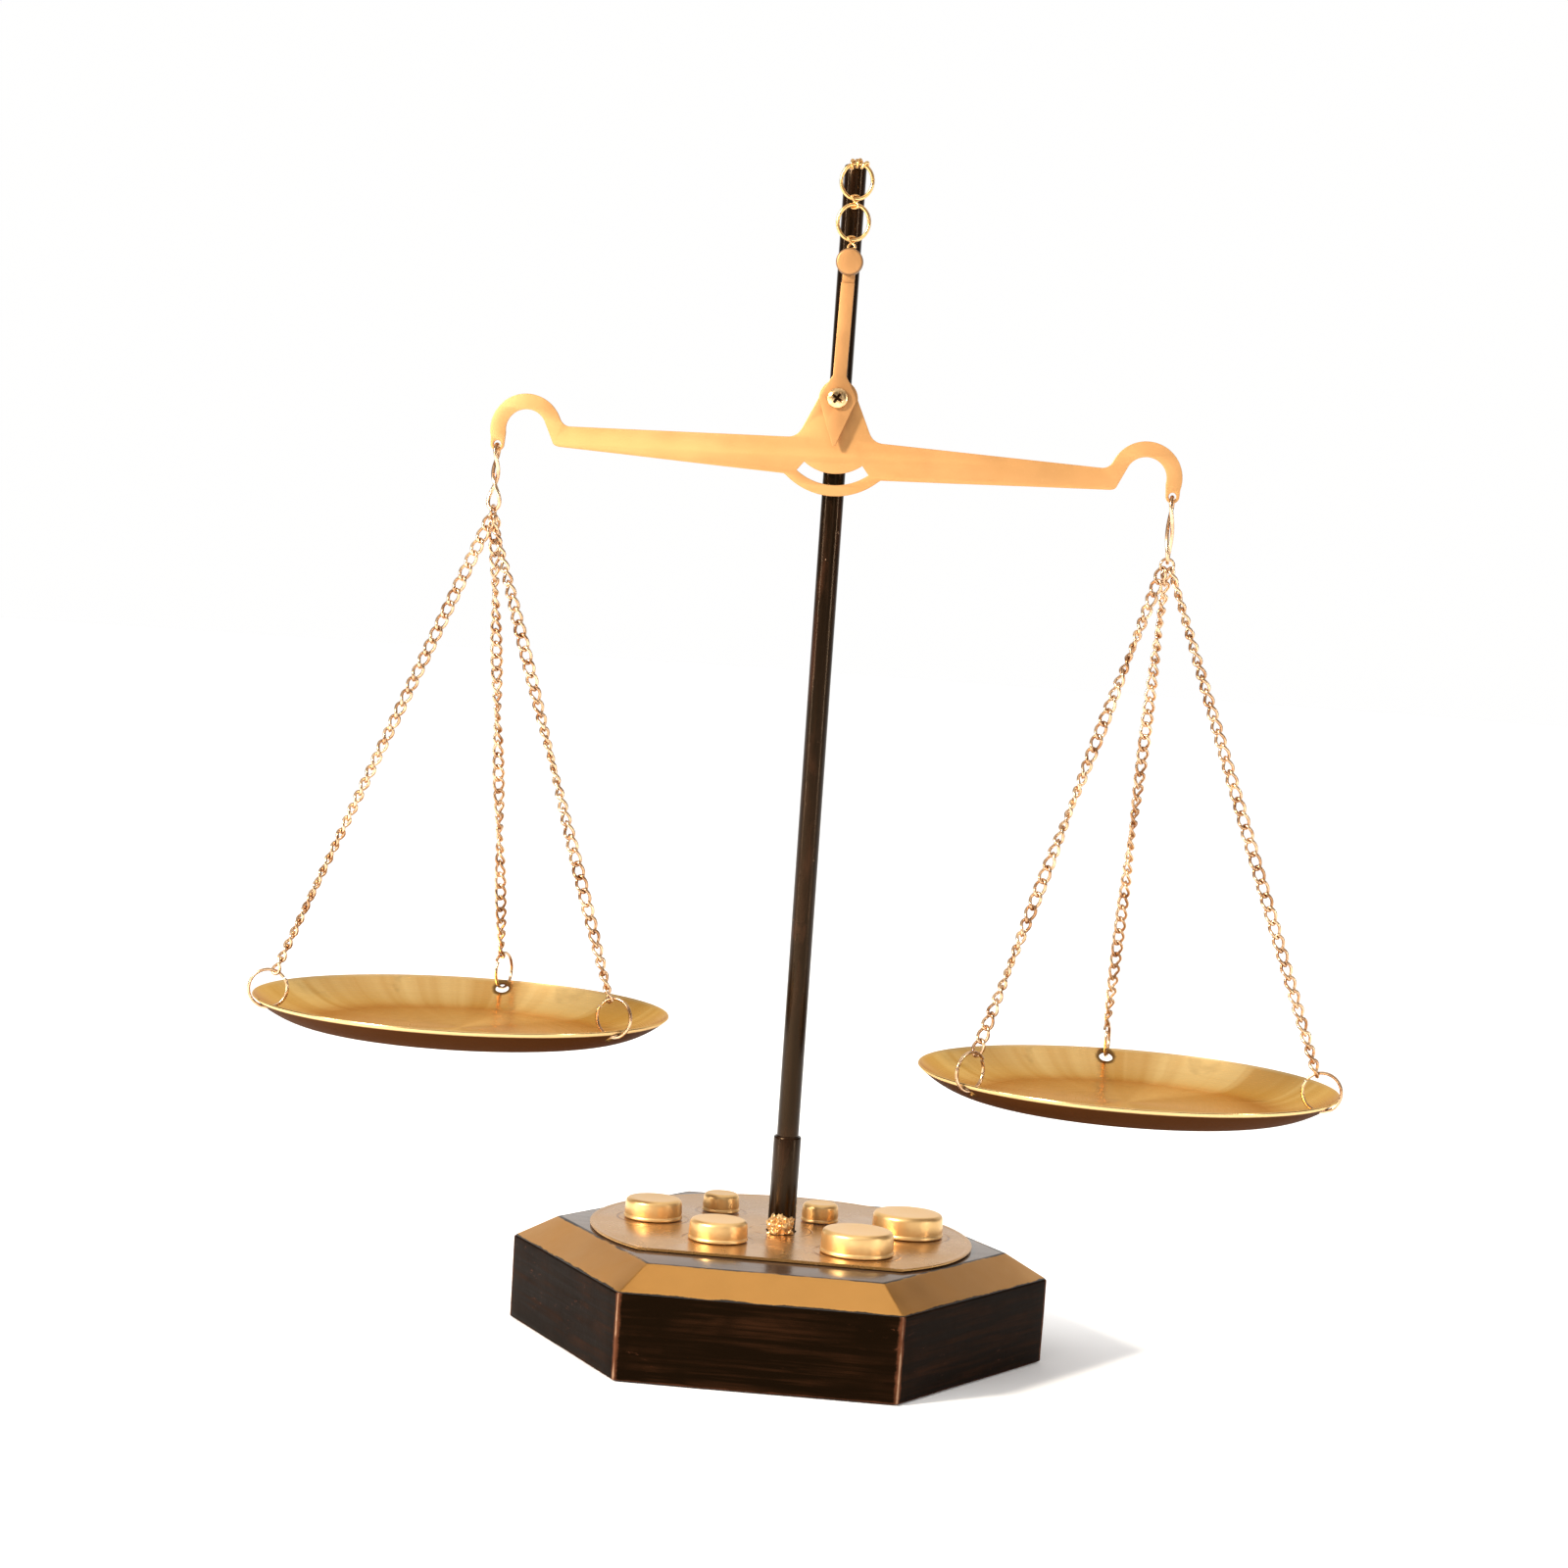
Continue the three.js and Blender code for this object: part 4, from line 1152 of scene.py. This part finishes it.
def figureEight(length, halfWidth, crossing, topTurn, bottomTurn, steps=72):
    # One wire bent into an eight, hanging down from the top; its loops face two ways
    path = []
    for step in range(steps):
        angle = 0.5 * math.pi + 2 * math.pi * step / steps
        depth = (1 - math.cos(angle)) / 2
        turn = topTurn + (bottomTurn - topTurn) * depth * depth * (3 - 2 * depth)
        across = halfWidth * math.sin(2 * angle)
        through = crossing * math.sin(angle)
        path.append(Vector((
            across * math.cos(turn) - through * math.sin(turn),
            across * math.sin(turn) + through * math.cos(turn),
            -length * depth,
        )))
    return path


def ovalRing(halfWidth, halfHeight, steps, opening=0.0, slip=0.0):
    # Upright ring in the XZ plane, which may have a small split with its ends slipped past each other
    path = []
    for step in range(steps + 1 if opening else steps):
        share = step / steps
        angle = math.radians(opening / 2) + share * (2 * math.pi - math.radians(opening))
        path.append(Vector((halfWidth * math.cos(angle), slip * (share - 0.5), halfHeight * math.sin(angle))))
    return path


def makeHangerRings(paint):
    for name in ("ring_lower", "ring_upper"):
        low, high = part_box(name)
        path = ovalRing((high.x - low.x) / 2 - hangerRingWire, (high.z - low.z) / 2 - hangerRingWire, 96)
        mesh = tubeMesh(name + "_wire", path, hangerRingWire * 1.05, 12, closed=True)
        addPiece(name + "_wire", mesh, "stand", paint, [name], boxMiddle(name))
    spans = {
        "link_lower": (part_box("hanger_tab")[1].z - 0.0021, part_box("ring_lower")[0].z + 0.0019),
        "link_upper": (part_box("ring_lower")[1].z - 0.0019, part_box("ring_upper")[0].z + 0.0019),
    }
    for name, (bottom, top) in spans.items():
        middle = boxMiddle(name)
        path = figureEight(top - bottom, 0.0017, 0.0006, math.radians(32), math.radians(-32))
        mesh = tubeMesh(name + "_eight", path, 0.00045, 10, closed=True)
        addPiece(name + "_eight", mesh, "stand", paint, [name], (middle.x, middle.y, top))


# Pans with their rings, chains and hooks

hookLook = {
    "length": 0.0235,
    "halfWidth": 0.0025,
    "crossing": 0.00085,
    "wire": 0.00070,
    "lean": 22,
    "twist": {"left": 80, "right": 8},
}

panLook = {
    "radius": 0.075,
    "wallRun": 0.023,
    "depth": 0.009,
    "sheet": 0.0007,
    "holeRadius": 0.0026,
    "holeInset": 0.0033,
    "rimRoll": 0.00042,
}

ringLook = {
    "radius": 0.0068,
    "wire": 0.0006,
    "gatherWire": 0.0005,
    "lean": 35,
    "pull": 20,
    "split": 5,
    "slip": 0.0009,
}

chainLook = {
    "gauge": 0.00118,  # wire thickness
    "width": 0.0048,  # across a link, outside
    "curl": 42,  # how far each end of a curb link is turned out of its plane
    "steps": 22,
    "sides": 8,
    "fan": 42,  # degrees between the chains where they share the gather ring
    "stray": 0.05,  # how far each link hangs off its turn, in radians
}

# angle round the pan, turn of the pan ring, place on the gather ring, first roll, twist along the chain
chainPlan = {
    "left": {
        "links": 36,
        "back": (87, -16, 1, 3, 640),
        "outer": (207, -14, -1, 63, 120),
        "front": (327, 8, 0, 33, 360),
    },
    "right": {
        "links": 37,
        "back": (95, -14, 0, 40, 390),
        "front": (219, 8, -1, 51, 540),
        "outer": (337, 12, 1, 23, 150),
    },
}


def panMesh(name, look, holeAngles):
    # Flat floor, then a wall on one curve out to the rolled rim; the holes are cut through the wall
    run = look["wallRun"]
    depth = look["depth"]
    sheet = look["sheet"]
    floorRadius = look["radius"] - run
    curve = (run * run + depth * depth) / (2 * depth)
    sweep = math.asin(run / curve)

    def wall(radius, share):
        turn = share * sweep
        return (floorRadius + radius * math.sin(turn), curve - depth - radius * math.cos(turn))

    floorRings = [floorRadius * share for share in (0, 0.35, 0.7, 0.97)]
    outside = [(ring, -depth - sheet) for ring in floorRings]
    outside += [wall(curve + sheet, step / 16) for step in range(17)]
    inside = [wall(curve, step / 16) for step in range(16, -1, -1)]
    inside += [(ring, -depth) for ring in reversed(floorRings)]
    lipOut = outside[-1]
    lipIn = inside[0]
    middle = [(a + b) / 2 for a, b in zip(lipOut, lipIn)]
    lean = math.degrees(sweep) / 2
    lip = arc(*middle, look["rimRoll"], lean - 30, lean + 90, 4)
    mesh = latheMesh(name, outside + lip + inside, 192)

    slope = math.asin((run - look["holeInset"]) / curve)
    at = wall(curve, slope / sweep)
    holder = bpy.data.objects.new(name, mesh)
    scene.collection.objects.link(holder)
    for angle in holeAngles:
        hole = look["holeRadius"]
        punch = latheMesh("punch", [(0, -0.003), (hole, -0.003), (hole, 0.003), (0, 0.003)], 28)
        turned(punch, -math.degrees(slope), "Y", (at[0], 0, at[1]))
        turned(punch, angle, "Z")
        tool = bpy.data.objects.new("punch", punch)
        scene.collection.objects.link(tool)
        cut = holder.modifiers.new("hole", "BOOLEAN")
        cut.object = tool
        cut.operation = "DIFFERENCE"
        cut.solver = "EXACT"
        bpy.context.view_layer.update()
        done = bpy.data.meshes.new_from_object(holder.evaluated_get(bpy.context.evaluated_depsgraph_get()))
        holder.modifiers.clear()
        holder.data = done
        bpy.data.objects.remove(tool)
    mesh = holder.data
    bpy.data.objects.remove(holder)
    holes = [(at[0] * math.cos(math.radians(a)), at[0] * math.sin(math.radians(a))) for a in holeAngles]
    return mesh, holes


def linkPath(look, length, roll):
    # One curb link about its own middle, hanging along -Z: an oval with its ends turned opposite ways
    halfLength = length / 2
    halfWidth = look["width"] / 2 - look["gauge"] / 2
    curl = math.radians(look["curl"])
    path = []
    for step in range(look["steps"]):
        angle = 2 * math.pi * step / look["steps"]
        along = halfLength * math.cos(angle)
        across = halfWidth * math.sin(angle) * (1 + 0.16 * math.cos(angle) ** 2)
        turn = roll + curl * math.sin(0.5 * math.pi * along / halfLength)
        path.append(Vector((across * math.cos(turn), across * math.sin(turn), -along)))
    return path


def chainMesh(name, look, start, end, links, gatherWire, ringWire, firstRoll, twist):
    gauge = look["gauge"]
    span = (end - start).length
    direction = (end - start).normalized()
    pitch = (span + gatherWire + ringWire) / links
    length = pitch + gauge
    frameTurn = (-direction).to_track_quat("Z", "Y").to_matrix()
    points = []
    faces = []
    for k in range(links):
        share = k / (links - 1)
        stray = look["stray"] * noise.noise(Vector((k * 1.7, start.x * 300, 0)))
        roll = math.radians(firstRoll + twist * share) + stray
        centre = start + direction * (k * pitch + length / 2 - gatherWire - gauge / 2)
        path = [frameTurn @ spot + centre for spot in linkPath(look, length, roll)]
        more, moreFaces = tubeParts(path, gauge / 2, look["sides"], closed=True)
        offset = len(points)
        points += more
        faces += [[index + offset for index in face] for face in moreFaces]
    return meshFrom(name, points, faces)


def makeSide(side, wirePaint):
    plan = chainPlan[side]
    names = [key for key in plan if key != "links"]
    setBody = side + "_pan_set"
    twist = math.radians(hookLook["twist"][side])

    low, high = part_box(side + "_hook")
    wire = hookLook["wire"]
    middle = boxMiddle(side + "_hook")
    path = figureEight(hookLook["length"], hookLook["halfWidth"], hookLook["crossing"],
                       math.radians(90 - hookLook["lean"]), math.radians(90) + twist)
    hook = tubeMesh(side + "_eight_hook", path, wire, 12, closed=True)
    addPiece(side + "_eight_hook", hook, side + "_hook", wirePaint, [side + "_hook"],
             (middle.x, middle.y, high.z - wire))

    name = side + "_gather_ring"
    low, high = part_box(name)
    gatherWire = ringLook["gatherWire"]
    gatherRadius = (high.z - low.z) / 2 - gatherWire
    path = [Matrix.Rotation(twist, 3, "Z") @ spot for spot in ovalRing(gatherRadius, gatherRadius, 48)]
    gather = tubeMesh(name + "_wire", path, gatherWire, 10, closed=True)
    gatherMiddle = boxMiddle(name)
    addPiece(name + "_wire", gather, side + "_gather", wirePaint, [name], gatherMiddle)

    low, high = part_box(side + "_pan")
    panMiddle = boxMiddle(side + "_pan")
    panMiddle.z = low.z + panLook["depth"] + panLook["sheet"]
    mesh, holes = panMesh(side + "_spun_pan", panLook, [plan[key][0] for key in names])
    rim = panLook["radius"]
    brass = panBrass(side + "_pan_brass", panBrassLook, rim, rim - panLook["wallRun"], holes)
    addPiece(side + "_spun_pan", mesh, setBody, brass, [side + "_pan"], panMiddle)

    for key in names:
        angle, turn, seat, firstRoll, twistAlong = plan[key]
        facing = math.radians(angle + turn)
        node = side + "_ring_" + key
        ringMiddle = boxMiddle(node)
        radius = ringLook["radius"]
        leaning = Matrix.Rotation(math.radians(-ringLook["lean"]), 3, "Y")
        pose = Matrix.Rotation(facing + math.pi, 3, "Z") @ leaning
        path = [pose @ spot for spot in ovalRing(radius, radius, 60, ringLook["split"], ringLook["slip"])]
        ring = tubeMesh(node + "_wire", path, ringLook["wire"], 10)
        addPiece(node + "_wire", ring, setBody, wirePaint, [node], ringMiddle)

        pull = math.radians(ringLook["pull"])
        end = ringMiddle + Vector((-radius * math.sin(pull) * math.cos(facing),
                                   -radius * math.sin(pull) * math.sin(facing), radius * math.cos(pull)))
        fan = math.radians(seat * chainLook["fan"])
        across = Vector((math.cos(twist), math.sin(twist), 0))
        start = gatherMiddle + across * gatherRadius * math.sin(fan)
        start.z -= gatherRadius * math.cos(fan)
        node = side + "_chain_" + key
        links = chainMesh(node + "_links", chainLook, start, end, plan["links"], gatherWire, ringLook["wire"],
                          firstRoll, twistAlong)
        addPiece(node + "_links", links, setBody, wirePaint, [node], smooth=75)


# Everything in order
makeCamera(cameraSettings)
makeStudio(studio)
print("camera and studio ready")

makeBase(baseLook)
makeDisc(discLook)
makeWeights(weightLook)
print("base, disc and weights ready")

makePost(postLook)
makeWeld(weldLook)
hangerBrass = chainGold("hanger_brass", hangerBrassLook)
makeTopCoil(coilLook, hangerBrass)
print("post ready")

beamGold = {**goldPaintLook, "light": (0.60, 0.315, 0.120), "deep": (0.54, 0.272, 0.094), "metal": 0.72}
makeBeam(beamLook, goldPaint("beam_gold", beamGold, rough=0.47))
makePointer(hangerLook, {**beamGold, "light": (0.53, 0.265, 0.099), "deep": (0.475, 0.228, 0.078)})
makeScrew(screwLook)
makeHangerRings(hangerBrass)
print("beam and hanger ready")

wirePaint = chainGold("chain_wire", chainGoldLook)
for side in ("left", "right"):
    makeSide(side, wirePaint)
print("pans, rings and chains ready")

# The plain parts below and behind keep their solids, and get a finish of their own
plainParts = {
    zincSteel("zinc_steel"): ["base_floor", "post_bolt", "post_washer", "rear_spacer", "front_spacer"],
    blackFelt("black_felt"): ["base_pad"],
}
for finish, names in plainParts.items():
    for node in names:
        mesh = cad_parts[node].data
        mesh.materials.clear()
        mesh.materials.append(finish)
print("plain parts finished")
